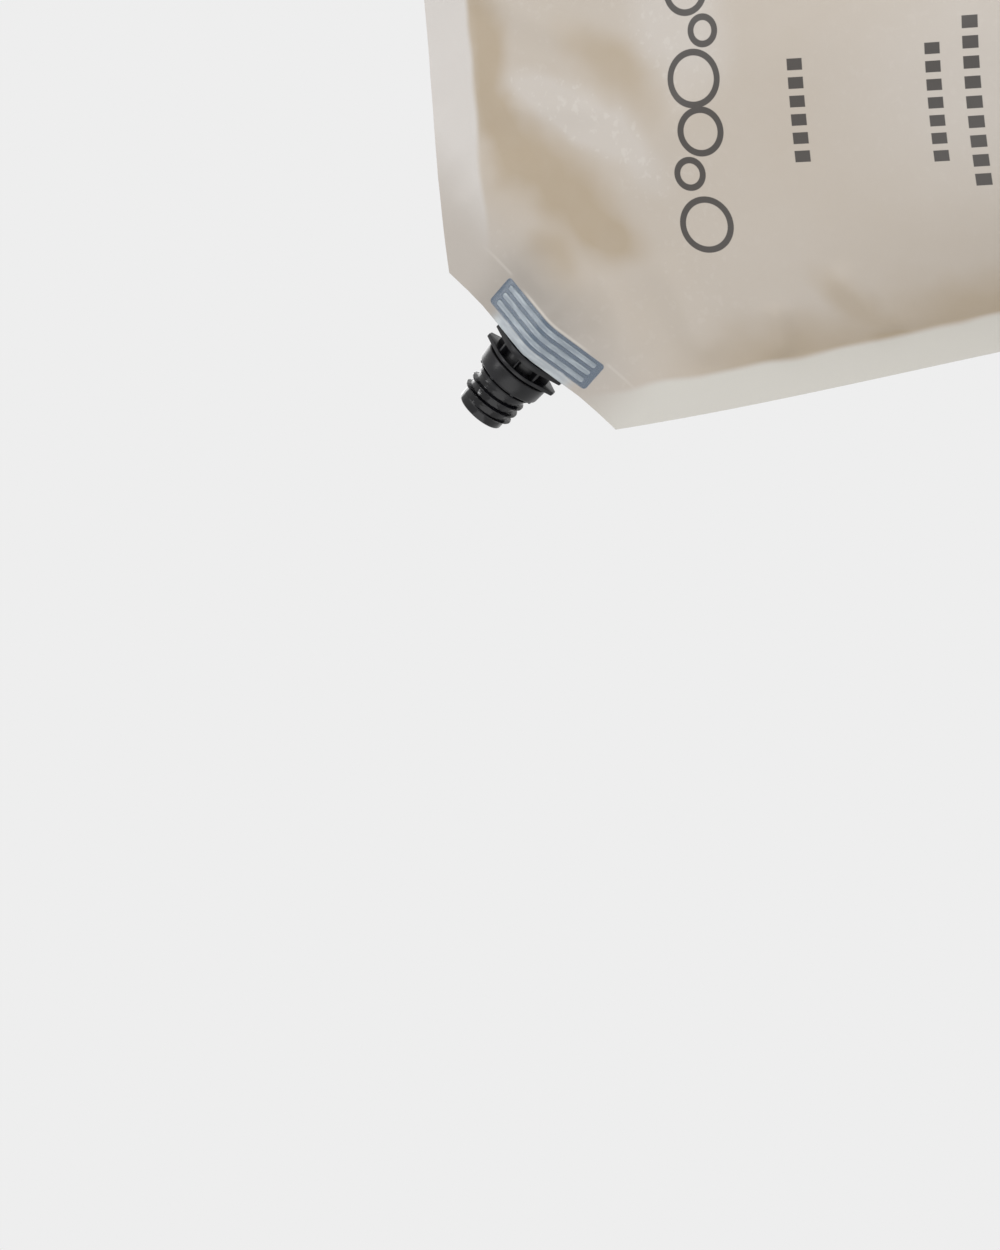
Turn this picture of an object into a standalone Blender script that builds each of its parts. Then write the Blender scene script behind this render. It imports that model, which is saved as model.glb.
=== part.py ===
"""Stand-up refill pouch for liquid hand soap, with a screw spout sealed into its cut corner.

Metres, +Z up. The pouch stands filled on its bottom gusset, its printed front faces -Y, and the
spout leaves the upper corner on the -X side. The origin is the middle of the base on the floor.
"""

import math

import bpy
import bmesh
from mathutils import Matrix, Vector
from mathutils.geometry import delaunay_2d_cdt

# Flat pouch, as the film is cut and sealed
POUCH_WIDTH = 0.180
POUCH_HEIGHT = 0.280
FILM_THICKNESS = 0.0004
SIDE_SEAL = 0.01125
TOP_SEAL = 0.0132
CORNER_CUT_TOP = 0.0535
CORNER_CUT_SIDE = 0.0435

# Filled shape
BELLY_DEPTH = 0.036
BELLY_TOP = 0.060
TAPER_POWER = 1.7
CORNER_RUN = 0.050
LEAN_DEPTH = 0.022
LEAN_FROM = -0.042
LEAN_TO = 0.070
LEAN_FOOT = 0.150

# Bottom gusset
GUSSET_FOLD = 0.045
GUSSET_RISE = 0.007
GUSSET_CURVE = 2.2
GUSSET_SAG = 0.003
FOLD_STEP = 0.008

# Clearances between pieces that touch on the real pouch
FILM_GAP = 0.0003
BOAT_GAP = 0.00045
SOAP_GAP = 0.0007
SOAP_EDGE = 0.0004
BAND_GAP = 0.0003
FLANGE_GAP = 0.0003

# Weld boat of the spout, clamped between the two panels
BOAT_LENGTH = 0.0390
BOAT_RADIUS = 0.0080
BOAT_END = 0.0012
BOAT_TOP = 0.0026
BOAT_RIB = 0.0011
BOAT_TROUGH = 0.0018
BOAT_TROUGH_DEPTH = 0.0009
BOAT_RIBS = 4
BOAT_END_BLOCK = 0.0026
BOAT_FADE = 0.044
FILM_BLEND = 0.3

# Neck of the spout, outwards from the edge of the film
BORE_RADIUS = 0.0060
ROOT_RADIUS = 0.0072
LOWER_FLANGE = 0.0012
LOWER_FLANGE_RADIUS = 0.0088
LOWER_FLANGE_LENGTH = 0.0240
RIB_ZONE = 0.0034
RIB_ZONE_RADIUS = 0.0080
RIB_HEIGHT = 0.0013
RIB_INSET = 0.00025
SPOUT_RIBS = 8
UPPER_FLANGE = 0.0012
UPPER_FLANGE_RADIUS = 0.0102
UPPER_FLANGE_LENGTH = 0.0262
WING_END = 0.0010
BAND_SEAT_RADIUS = 0.0087
BAND_HEIGHT = 0.0052
BAND_WALL = 0.0019
BAND_ROUND = 0.0005
BRIDGE_STUB = 0.0004
BEAD_HEIGHT = 0.0008
BEAD_RADIUS = 0.0092
BEAD_ROUND = 0.0002
SHOULDER_HEIGHT = 0.0014
SHOULDER_RADIUS = 0.0083
NECK_RADIUS = 0.00765
THREAD_RADIUS = 0.0090
THREAD_PITCH = 0.0030
THREAD_TURNS = 2.8
THREAD_FOOT = 0.0016
THREAD_FLANK = 0.0003
LIP_HEIGHT = 0.0023
LIP_ROUND = 0.0004

# Fineness of the meshes
FILM_STATIONS = 18
ROWS_BREAK = 0.62
GUSSET_ROWS = 6
SPOUT_SEGMENTS = 48
SPOUT_CROWDING = 0.2
THREAD_STEPS = 6
SEARCH_STEPS = 40
MERGE_DISTANCE = 1e-7

POCKET_FLAT = POUCH_WIDTH / 2 - SIDE_SEAL
POCKET_TOP = POUCH_HEIGHT - TOP_SEAL
CUT_LEVEL = POUCH_HEIGHT - CORNER_CUT_SIDE
BAND_INNER = BAND_SEAT_RADIUS + BAND_GAP


def clamp(value, low=0.0, high=1.0):
    return min(max(value, low), high)


def smooth(value):
    """Ease from 0 to 1 with level ends."""
    value = clamp(value)
    return value * value * (3 - 2 * value)


def blend_over(first, second):
    """The larger of two depths, eased where they cross and never below either."""
    return (first + second + math.sqrt((first - second) ** 2 + FILM_BLEND * first * second)) / 2


def belly(z):
    """Half depth of the filled pouch on its middle line at height z."""
    rise = clamp((z - BELLY_TOP) / (POCKET_TOP - BELLY_TOP))
    return BELLY_DEPTH * (1 - rise ** TAPER_POWER)


def pocket_half(z):
    """Half width between the side seals: bowed film keeps its length, so a full pouch is narrower."""
    spare = POCKET_FLAT ** 2 - 8 * belly(z) ** 2 / 3
    return (POCKET_FLAT + math.sqrt(spare)) / 2


def side_edge(z):
    return pocket_half(z) + SIDE_SEAL


CUT_START = Vector((CORNER_CUT_TOP - side_edge(POUCH_HEIGHT), POUCH_HEIGHT))
CUT_END = Vector((-side_edge(CUT_LEVEL), CUT_LEVEL))
CUT_MIDDLE = (CUT_START + CUT_END) / 2
CUT_LENGTH = (CUT_END - CUT_START).length
ALONG_CUT = (CUT_END - CUT_START) / CUT_LENGTH
INTO_POUCH = Vector((-ALONG_CUT.y, ALONG_CUT.x))


def corner_place(along, inside):
    """Point at a distance along the cut corner's middle and inside its edge, as (x, z)."""
    return CUT_MIDDLE + ALONG_CUT * along + INTO_POUCH * inside


def corner_coordinates(x, z):
    """Distances along the cut corner from its middle, and inside its edge."""
    offset = Vector((x, z)) - CUT_MIDDLE
    return offset.dot(ALONG_CUT), offset.dot(INTO_POUCH)


def lip_level():
    """Level of the spout's mouth above the edge of the film."""
    seat = band_start() + BAND_GAP + BAND_HEIGHT + BRIDGE_STUB
    return seat + BEAD_HEIGHT + SHOULDER_HEIGHT + THREAD_PITCH * THREAD_TURNS + LIP_HEIGHT


def wing_tangent(radius, half_length, half_end):
    """Point where a straight wing that ends at (half_length, half_end) leaves a round middle."""
    reach = math.hypot(half_length, half_end)
    angle = math.atan2(half_end, half_length) + math.acos(min(radius / reach, 1.0))
    return radius * math.cos(angle), radius * math.sin(angle), angle


def boat_cover(along):
    """Half gap of the film over the weld boat at a distance from its middle, closed past its ends."""
    past_end = abs(along) - BOAT_LENGTH / 2
    if past_end > 0:
        return (BOAT_END / 2 + BOAT_GAP) * clamp(1 - past_end / FOLD_STEP)
    return boat_half(along) + BOAT_GAP


def boat_half(along):
    """Half thickness of the weld boat at a distance from its middle."""
    along = abs(along)
    end = BOAT_END / 2
    start, height, _ = wing_tangent(BOAT_RADIUS, BOAT_LENGTH / 2, end)
    if along <= start:
        return math.sqrt(BOAT_RADIUS ** 2 - along ** 2)
    return height + (end - height) * (along - start) / (BOAT_LENGTH / 2 - start)


def boat_depth():
    return BOAT_TOP + BOAT_RIBS * BOAT_RIB + (BOAT_RIBS - 1) * BOAT_TROUGH


def corner_seal():
    """Width of the seal along the cut corner, which reaches just past the boat."""
    return boat_depth() + FILM_GAP


def seal_half(z):
    """Half gap between the panels in a side seal, wider where the folded gusset lies between them."""
    folded = 1 - smooth((z - GUSSET_FOLD - FILM_GAP) / FOLD_STEP)
    return FILM_GAP / 2 + (FILM_THICKNESS + FILM_GAP) * folded


def pocket_depth(x, z):
    """Half depth of the liquid's pocket, which ends at every seal."""
    across = max(0.0, 1 - (x / pocket_half(z)) ** 2)
    inside = clamp((corner_coordinates(x, z)[1] - corner_seal()) / CORNER_RUN)
    return belly(z) * across * (1 - (1 - inside) ** 2)


def panel_inner(x, z):
    """Distance of a panel's inner face from the middle plane of the pouch."""
    along, inside = corner_coordinates(x, z)
    over_boat = boat_cover(along) * (1 - smooth((inside - corner_seal()) / BOAT_FADE))
    pocket = seal_half(z) + pocket_depth(x, z)
    return blend_over(pocket, over_boat)


def lean(x, z):
    """How far the upper film sweeps back: nothing beside the spout, most at the other upper corner."""
    across = smooth((x - LEAN_FROM) / (LEAN_TO - LEAN_FROM))
    return LEAN_DEPTH * across * smooth((z - LEAN_FOOT) / (POUCH_HEIGHT - LEAN_FOOT))


def gusset_seal(x):
    """Height of the curved seal between a panel and the gusset, lowest on the middle line."""
    return GUSSET_RISE + (GUSSET_FOLD - GUSSET_RISE) * clamp(abs(x) / pocket_half(0)) ** GUSSET_CURVE


def gusset_top(x, share):
    """Height of the gusset between its two skirts, share running from -1 at one to 1 at the other."""
    slack = 1 - clamp(abs(x) / pocket_half(0)) ** 2
    return gusset_seal(x) - GUSSET_SAG * slack * (1 - share ** 2)


def spread(count, low, high):
    return [low + (high - low) * index / count for index in range(count + 1)]


def stations(z):
    """Places across the pouch at height z: both edges, both seal lines and the pocket between."""
    half = pocket_half(z)
    return [-half - SIDE_SEAL] + spread(FILM_STATIONS, -half, half) + [half + SIDE_SEAL]


def film_levels():
    """Heights of the mesh's rows, with one along each seal."""
    skirt = spread(2, 0.0, GUSSET_FOLD)
    step = [GUSSET_FOLD + FILM_GAP + FOLD_STEP * share for share in (0.25, 0.5, 0.75, 1.0)]
    lower = spread(5, step[-1] + FOLD_STEP, CUT_LEVEL * ROWS_BREAK)
    middle = spread(5, CUT_LEVEL * ROWS_BREAK, CUT_LEVEL)[1:]
    upper = spread(4, CUT_LEVEL, POCKET_TOP)[1:]
    return skirt + step + lower + middle + upper + [POUCH_HEIGHT]


def corner_stations():
    """Places along the cut corner: the ends and tangents of the boat, and steps between."""
    half = BOAT_LENGTH / 2
    start = wing_tangent(BOAT_RADIUS, half, BOAT_END / 2)[0]
    wing = spread(3, start, half)
    ends = [half + FOLD_STEP / 2] + spread(2, half + FOLD_STEP, CUT_LENGTH / 2)
    side = wing + ends
    return [-place for place in reversed(side)] + [0.0] + side


def corner_depths():
    return [0.0, BOAT_TOP] + spread(6, corner_seal(), corner_seal() + BOAT_FADE)


def seal_end(side, is_past):
    """Place along the cut corner's seal, to one side of its middle, where a test becomes true."""
    low = 0.0
    high = CUT_LENGTH
    for _ in range(SEARCH_STEPS):
        middle = (low + high) / 2
        if is_past(corner_place(side * middle, corner_seal())):
            high = middle
        else:
            low = middle
    return side * low


def seal_line():
    """Inner edge of the seals from the left foot up, along the cut corner, over and down, as (x, z)."""
    last = seal_end(1, lambda place: place.x < -pocket_half(place.y))
    first = seal_end(-1, lambda place: place.y > POCKET_TOP)
    low_end = corner_place(last, corner_seal())
    high_end = corner_place(first, corner_seal())
    spare = FOLD_STEP / 2
    left = [(-pocket_half(z), z) for z in film_levels() if z < low_end.y - spare]
    inner = [along for along in reversed(corner_stations()) if first + spare < along < last - spare]
    corner = [tuple(low_end)]
    corner += [tuple(corner_place(along, corner_seal())) for along in inner]
    corner.append(tuple(high_end))
    top = [(x, POCKET_TOP) for x in stations(POCKET_TOP)[1:-2] if x > high_end.x + spare]
    right = [(pocket_half(z), z) for z in reversed(film_levels()) if z <= POCKET_TOP]
    return left + corner + top + right


def panel_outline():
    """Corners and steps of a panel's edge, in order round it, as (x, z)."""
    levels = film_levels()
    bottom = [(x, 0.0) for x in stations(0.0)]
    right = [(side_edge(z), z) for z in levels[1:]]
    spare = FOLD_STEP / 2
    top = [(x, POUCH_HEIGHT) for x in reversed(stations(POUCH_HEIGHT)[:-1]) if x > CUT_START.x + spare]
    corner = [tuple(corner_place(along, 0.0)) for along in corner_stations()]
    left = [(-side_edge(z), z) for z in reversed(levels[1:]) if z < CUT_LEVEL - spare]
    return bottom + right + top + corner + left


def pocket_points():
    """Points of a panel inside its seals: level rows, and a finer patch round the boat."""
    depths = corner_depths()
    points = []
    for z in film_levels()[1:-2]:
        for x in stations(z)[2:-2]:
            if corner_coordinates(x, z)[1] > depths[-1] + FOLD_STEP / 2:
                points.append((x, z))
    for inside in depths[3:]:
        for along in corner_stations():
            place = corner_place(along, inside)
            if place.y < POCKET_TOP - FOLD_STEP / 2 and place.x > FOLD_STEP / 2 - pocket_half(place.y):
                points.append(tuple(place))
    return points


def boat_points():
    """Points of the seal over the outer side of the boat."""
    return [tuple(corner_place(along, BOAT_TOP)) for along in corner_stations()[2:-2]]


def fill_outline(outline, points, crease):
    """Triangles over an outline and the points in it, with edges along a crease."""
    flat = [Vector(point) for point in outline + points + list(crease)]
    loop = list(range(len(outline)))
    start = len(outline) + len(points)
    bends = [(index, index + 1) for index in range(start, len(flat) - 1)]
    places, _, triangles, _, _, _ = delaunay_2d_cdt(flat, bends, [loop], 1, MERGE_DISTANCE)
    return [tuple(place) for place in places], [list(triangle) for triangle in triangles]


def panel_triangles():
    """Flat triangles of a panel, with its seals as edges."""
    return fill_outline(panel_outline(), pocket_points() + boat_points(), seal_line())


def open_edges(triangles):
    """Edges that only one triangle has, each in that triangle's direction."""
    edges = {}
    for triangle in triangles:
        for index in range(3):
            edge = (triangle[index], triangle[(index + 1) % 3])
            if edge[::-1] in edges:
                del edges[edge[::-1]]
            else:
                edges[edge] = True
    return list(edges)


def material(name, colour, roughness, alpha=1.0):
    finish = bpy.data.materials.new(name)
    finish.use_nodes = True
    shader = finish.node_tree.nodes["Principled BSDF"]
    shader.inputs["Base Color"].default_value = (*colour, 1.0)
    shader.inputs["Roughness"].default_value = roughness
    shader.inputs["Metallic"].default_value = 0.0
    shader.inputs["Alpha"].default_value = alpha
    return finish


def add_object(name, mesh_builder, finish, smooth_angle=40.0):
    """Turn a bmesh with closed, outward walls into a named object."""
    bmesh.ops.recalc_face_normals(mesh_builder, faces=mesh_builder.faces[:])
    mesh = bpy.data.meshes.new(name)
    mesh_builder.to_mesh(mesh)
    mesh_builder.free()
    mesh.materials.append(finish)
    mesh.shade_smooth()
    mesh.set_sharp_from_angle(angle=math.radians(smooth_angle))
    body = bpy.data.objects.new(name, mesh)
    bpy.context.scene.collection.objects.link(body)
    return body


def make_panel(name, side, finish):
    """One face of the pouch: side is -1 for the front and 1 for the back."""
    places, triangles = panel_triangles()
    builder = bmesh.new()
    inner = []
    outer = []
    for x, z in places:
        depth = panel_inner(x, z)
        middle = lean(x, z)
        inner.append(builder.verts.new((x, middle + side * depth, z)))
        outer.append(builder.verts.new((x, middle + side * (depth + FILM_THICKNESS), z)))
    for a, b, c in triangles:
        builder.faces.new((outer[a], outer[b], outer[c]))
        builder.faces.new((inner[c], inner[b], inner[a]))
    for a, b in open_edges(triangles):
        builder.faces.new((outer[b], outer[a], inner[a], inner[b]))
    return add_object(name, builder, finish)


def gusset_section(x, inset):
    """Section of the gusset at x, from one skirt's foot over the base to the other, as (y, z)."""
    lower = [0.0, 0.5, 1.0]
    shares = spread(GUSSET_ROWS, -1.0, 1.0)
    skirt = []
    for share in lower:
        z = share * (gusset_seal(x) - inset)
        skirt.append((-(panel_inner(x, z) - FILM_GAP - inset), z))
    half = -skirt[-1][0]
    base = [(share * half, gusset_top(x, share) - inset) for share in shares[1:-1]]
    return skirt + base + [(-y, z) for y, z in reversed(skirt)]


def make_gusset(finish):
    """Bottom web, folded up between the panels and spread to a saddle by the liquid on it."""
    builder = bmesh.new()
    shells = []
    for inset in (0.0, FILM_THICKNESS):
        columns = []
        for x in stations(0.0):
            columns.append([builder.verts.new((x, y, z)) for y, z in gusset_section(x, inset)])
        shells.append(columns)
    top, under = shells
    rows = len(top[0])
    for left, right in zip(range(len(top) - 1), range(1, len(top))):
        for row in range(rows - 1):
            after = row + 1
            builder.faces.new((top[left][row], top[right][row], top[right][after], top[left][after]))
            builder.faces.new((under[left][after], under[right][after], under[right][row], under[left][row]))
        for row in (0, rows - 1):
            builder.faces.new((top[left][row], under[left][row], under[right][row], top[right][row]))
    for column in (0, len(top) - 1):
        for row in range(rows - 1):
            after = row + 1
            builder.faces.new((top[column][row], top[column][after], under[column][after], under[column][row]))
    return add_object("bottom_gusset", builder, finish)


def gusset_cutter(height):
    """Block under the gusset's upper face, raised by a height: what the liquid has to stay above."""
    reach = BELLY_DEPTH + SIDE_SEAL
    builder = bmesh.new()
    columns = []
    for x in stations(0.0):
        half = panel_inner(x, gusset_seal(x))
        section = [(-reach, -height), (-reach, gusset_seal(x) + height)]
        for share in spread(GUSSET_ROWS, -1.0, 1.0):
            section.append((share * half, gusset_top(x, share) + height))
        section += [(reach, gusset_seal(x) + height), (reach, -height)]
        columns.append([builder.verts.new((x, y, z)) for y, z in section])
    for left, right in zip(columns[:-1], columns[1:]):
        for row in range(len(left)):
            after = (row + 1) % len(left)
            builder.faces.new((left[row], right[row], right[after], left[after]))
    builder.faces.new(columns[0])
    builder.faces.new(columns[-1][::-1])
    cutter = add_object("gusset_cutter", builder, material("cutter", (0.5, 0.5, 0.5), 0.5))
    cutter.hide_render = True
    cutter.display_type = "WIRE"
    return cutter


def make_soap(finish):
    """The liquid: the room between the panels' inner faces, cut off where the films close up."""
    places, triangles = panel_triangles()
    builder = bmesh.new()
    corners = [builder.verts.new((x, panel_inner(x, z) - SOAP_GAP, z)) for x, z in places]
    for a, b, c in triangles:
        builder.faces.new((corners[a], corners[b], corners[c]))
    past_boat = corner_place(0.0, boat_depth() + SOAP_GAP)
    trims = [
        (Vector((0.0, SOAP_EDGE, 0.0)), Vector((0.0, 1.0, 0.0))),
        (Vector((past_boat.x, 0.0, past_boat.y)), Vector((INTO_POUCH.x, 0.0, INTO_POUCH.y))),
    ]
    for place, normal in trims:
        whole = builder.verts[:] + builder.edges[:] + builder.faces[:]
        bmesh.ops.bisect_plane(builder, geom=whole, plane_co=place, plane_no=normal, clear_inner=True)
    raised = bmesh.ops.extrude_face_region(builder, geom=builder.faces[:])
    for vertex in raised["geom"]:
        if isinstance(vertex, bmesh.types.BMVert):
            vertex.co.y = -vertex.co.y
    for vertex in builder.verts:
        vertex.co.y += lean(vertex.co.x, vertex.co.z)
    soap = add_object("liquid_soap", builder, finish)
    trim = soap.modifiers.new("above_gusset", "BOOLEAN")
    trim.operation = "DIFFERENCE"
    trim.solver = "EXACT"
    trim.object = gusset_cutter(SOAP_GAP)
    return soap


def ring_angles():
    """Directions round the spout, closer together towards the two ends of its boat."""
    even = [(index + 0.5) * math.tau / SPOUT_SEGMENTS for index in range(SPOUT_SEGMENTS)]
    return [angle - SPOUT_CROWDING * math.sin(2 * angle) for angle in even]


def round_ring(radius):
    return [radius] * SPOUT_SEGMENTS


def winged_ring(radius, length, end):
    """Outline with a round middle and two straight wings that narrow to blunt ends."""
    start, height, tangent = wing_tangent(radius, length / 2, end / 2)
    run = length / 2 - start
    rise = end / 2 - height
    reach = []
    for angle in ring_angles():
        turned = abs(math.atan2(math.sin(angle), abs(math.cos(angle))))
        if turned >= tangent:
            reach.append(radius)
            continue
        if math.tan(turned) <= end / length:
            reach.append(length / 2 / math.cos(turned))
            continue
        cross = run * math.sin(turned) - rise * math.cos(turned)
        reach.append((height * run - start * rise) / cross)
    return reach


def ribbed_ring(radius, height, every):
    """Round outline with narrow upright ribs."""
    return [radius + (height if index % every in (0, 1) else 0.0) for index in range(SPOUT_SEGMENTS)]


def thread_ring(level):
    """Outline of the neck at a level above the thread's start, cut through the screw thread."""
    length = THREAD_PITCH * THREAD_TURNS
    fade = smooth(level / THREAD_PITCH * 2) * smooth((length - level) / THREAD_PITCH * 2)
    reach = []
    for angle in ring_angles():
        phase = (level / THREAD_PITCH - angle / math.tau) % 1.0
        off_crest = abs(phase - 0.5) * THREAD_PITCH
        crest = clamp((THREAD_FOOT / 2 - off_crest) / THREAD_FLANK)
        reach.append(NECK_RADIUS + (THREAD_RADIUS - NECK_RADIUS) * crest * fade)
    return reach


def trough_ring(full):
    """Outline of the boat through a trough, which stops short of the solid block at each end."""
    shallow = (BOAT_RADIUS - BOAT_TROUGH_DEPTH) / BOAT_RADIUS
    block = BOAT_LENGTH / 2 - BOAT_END_BLOCK
    reach = []
    for angle, radius in zip(ring_angles(), full):
        at_end = abs(radius * math.cos(angle)) > block
        reach.append(radius if at_end else radius * shallow)
    return reach


def boat_rings():
    """Levels and outlines of the weld boat, from its inner end to its outer rib."""
    rings = []
    level = -boat_depth()
    full = winged_ring(BOAT_RADIUS, BOAT_LENGTH, BOAT_END)
    recessed = trough_ring(full)
    for rib in range(BOAT_RIBS):
        rings.append((level, full))
        rings.append((level + BOAT_RIB, full))
        level += BOAT_RIB
        if rib < BOAT_RIBS - 1:
            rings.append((level, recessed))
            rings.append((level + BOAT_TROUGH, recessed))
            level += BOAT_TROUGH
    return rings


def spout_rings():
    """Every level of the moulding with its outline, up the outside and back down the bore."""
    rings = [(-boat_depth(), round_ring(BORE_RADIUS))] + boat_rings()
    rings.append((-BOAT_TOP, round_ring(ROOT_RADIUS)))
    level = FLANGE_GAP
    rings.append((level, round_ring(ROOT_RADIUS)))
    flange = winged_ring(LOWER_FLANGE_RADIUS, LOWER_FLANGE_LENGTH, WING_END)
    rings += [(level, flange), (level + LOWER_FLANGE, flange)]
    level += LOWER_FLANGE
    ribs = ribbed_ring(RIB_ZONE_RADIUS, RIB_HEIGHT, SPOUT_SEGMENTS // SPOUT_RIBS)
    ribs = [min(rib, edge - RIB_INSET) for rib, edge in zip(ribs, flange)]
    rings += [(level, ribs), (level + RIB_ZONE, ribs)]
    level += RIB_ZONE
    flange = winged_ring(UPPER_FLANGE_RADIUS, UPPER_FLANGE_LENGTH, WING_END)
    rings += [(level, flange), (level + UPPER_FLANGE, flange)]
    level += UPPER_FLANGE
    rings.append((level, round_ring(BAND_SEAT_RADIUS)))
    level += 2 * BAND_GAP + BAND_HEIGHT + BRIDGE_STUB
    rings.append((level, round_ring(BAND_SEAT_RADIUS)))
    rings.append((level + BEAD_ROUND, round_ring(BEAD_RADIUS)))
    rings.append((level + BEAD_HEIGHT - BEAD_ROUND, round_ring(BEAD_RADIUS)))
    level += BEAD_HEIGHT
    rings.append((level, round_ring(SHOULDER_RADIUS)))
    level += SHOULDER_HEIGHT
    rings.append((level, round_ring(SHOULDER_RADIUS)))
    steps = round(THREAD_TURNS * THREAD_STEPS)
    for step in range(steps + 1):
        rise = THREAD_PITCH * THREAD_TURNS * step / steps
        rings.append((level + rise, thread_ring(rise)))
    level += THREAD_PITCH * THREAD_TURNS + LIP_HEIGHT
    rings.append((level - LIP_ROUND, round_ring(NECK_RADIUS)))
    rings.append((level, round_ring(NECK_RADIUS - LIP_ROUND)))
    rings.append((level, round_ring(BORE_RADIUS + LIP_ROUND)))
    rings.append((level - LIP_ROUND, round_ring(BORE_RADIUS)))
    return rings


def loft_rings(rings):
    """Closed tube through every ring in turn, the last one joined to the first."""
    builder = bmesh.new()
    angles = ring_angles()
    loops = []
    for level, reach in rings:
        loop = []
        for angle, radius in zip(angles, reach):
            loop.append(builder.verts.new((radius * math.cos(angle), radius * math.sin(angle), level)))
        loops.append(loop)
    for lower, upper in zip(loops, loops[1:] + loops[:1]):
        for index in range(SPOUT_SEGMENTS):
            after = (index + 1) % SPOUT_SEGMENTS
            builder.faces.new((lower[index], lower[after], upper[after], upper[index]))
    return builder


def band_start():
    """Level of the tamper band's foot above the edge of the film."""
    return FLANGE_GAP + LOWER_FLANGE + RIB_ZONE + UPPER_FLANGE + BAND_GAP


def make_band(finish):
    """Ring that the screw cap left behind, with the stubs of its broken bridges on its rim."""
    inner = BAND_INNER
    outer = inner + BAND_WALL
    edge = BAND_ROUND
    foot = band_start()
    rim = foot + BAND_HEIGHT
    rings = [
        (foot, round_ring(inner)),
        (foot, round_ring(outer - edge)),
        (foot + edge, round_ring(outer)),
        (rim - edge, round_ring(outer)),
        (rim, round_ring(outer - edge)),
        (rim, round_ring(inner)),
    ]
    builder = loft_rings(rings)
    builder.verts.ensure_lookup_table()
    for ring in (4, 5):
        for index in range(SPOUT_SEGMENTS):
            if index % (SPOUT_SEGMENTS // SPOUT_RIBS) in (2, 3):
                builder.verts[ring * SPOUT_SEGMENTS + index].co.z += BRIDGE_STUB
    return add_object("tamper_band", builder, finish)


def main():
    for old in list(bpy.data.objects):
        bpy.data.objects.remove(old, do_unlink=True)
    film = material("frosted_film", (0.62, 0.58, 0.52), 0.42, 0.75)
    black = material("black_polyethylene", (0.022, 0.021, 0.026), 0.36)
    soap = material("amber_soap", (0.47, 0.37, 0.25), 0.12)

    make_panel("front_panel", -1, film)
    make_panel("back_panel", 1, film)
    make_gusset(film)
    make_soap(soap)

    axis = bpy.data.objects.new("spout_axis", None)
    bpy.context.scene.collection.objects.link(axis)
    along = Vector((ALONG_CUT.x, 0.0, ALONG_CUT.y))
    outward = Vector((-INTO_POUCH.x, 0.0, -INTO_POUCH.y))
    turn = Matrix((along, outward.cross(along), outward)).transposed()
    axis.matrix_world = Matrix.Translation((CUT_MIDDLE.x, 0.0, CUT_MIDDLE.y)) @ turn.to_4x4()
    spout = add_object("spout", loft_rings(spout_rings()), black)
    band = make_band(black)
    for piece in (spout, band):
        piece.parent = axis


main()
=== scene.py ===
"""Dressed stand-up refill pouch for liquid hand soap, with its screw spout, in a pale studio.

Metres, +Z up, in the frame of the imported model. The printed front faces -Y and the spout leaves the
upper corner on the -X side. Every piece stands in for a solid of the model, finer and with its finish.
"""

import logging
import math
from dataclasses import dataclass, field
from enum import Enum
from typing import Sequence

import bpy
import numpy as np
from mathutils import Matrix, Vector, noise

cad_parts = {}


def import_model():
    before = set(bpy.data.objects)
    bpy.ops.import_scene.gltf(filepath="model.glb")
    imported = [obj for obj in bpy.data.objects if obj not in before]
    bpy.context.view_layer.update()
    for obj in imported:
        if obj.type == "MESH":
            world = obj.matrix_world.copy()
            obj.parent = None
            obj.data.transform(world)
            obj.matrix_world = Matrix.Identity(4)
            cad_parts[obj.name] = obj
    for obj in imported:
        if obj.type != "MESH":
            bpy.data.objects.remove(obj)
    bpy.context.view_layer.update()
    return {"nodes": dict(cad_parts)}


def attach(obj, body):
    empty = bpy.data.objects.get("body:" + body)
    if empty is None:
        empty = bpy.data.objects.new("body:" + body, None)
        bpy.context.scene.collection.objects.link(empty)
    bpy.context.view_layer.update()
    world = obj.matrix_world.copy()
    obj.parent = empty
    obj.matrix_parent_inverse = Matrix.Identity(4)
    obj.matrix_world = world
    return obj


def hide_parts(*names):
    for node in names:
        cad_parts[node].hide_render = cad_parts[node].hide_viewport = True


LOG = logging.getLogger("refill_pouch")

FLAT_MAP = "flat"
WHITE = (1.0, 1.0, 1.0)
SHEET_ANGLE = 50.0
MOULDING_ANGLE = 38.0
QUARTER_TURN = (0.0, 30.0, 60.0, 90.0)
BEAD_PROFILE = ((0.25, 0.7), (0.45, 1.0), (0.6, 1.0), (0.85, 0.6))

Colour = tuple[float, float, float]
Place = tuple[float, float]
Span = tuple[float, float]
Field = np.ndarray
Ring = tuple[float, Field]
Socket = bpy.types.NodeSocket
Piece = bpy.types.Object
Material = bpy.types.Material


class Side(Enum):
    """Which face of the pouch a panel is."""

    FRONT = -1
    BACK = 1


class Slot(Enum):
    """Material slots of the record, for the pieces that are modelled here."""

    FILM = "frosted_film"
    BLACK = "black_moulding"


def srgb(red: int, green: int, blue: int) -> Colour:
    """Turn a colour as a screen shows it into linear values.

    Args:
        red: Red from 0 to 255.
        green: Green from 0 to 255.
        blue: Blue from 0 to 255.

    Returns:
        The same colour in linear light.
    """
    linear = []
    for value in (red, green, blue):
        share = value / 255
        linear.append(share / 12.92 if share <= 0.04045 else ((share + 0.055) / 1.055) ** 2.4)
    return linear[0], linear[1], linear[2]


def smooth(value: Field) -> Field:
    """Ease from 0 to 1 with level ends."""
    value = np.clip(value, 0.0, 1.0)
    return value * value * (3 - 2 * value)


# Shape of the filled film


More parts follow.
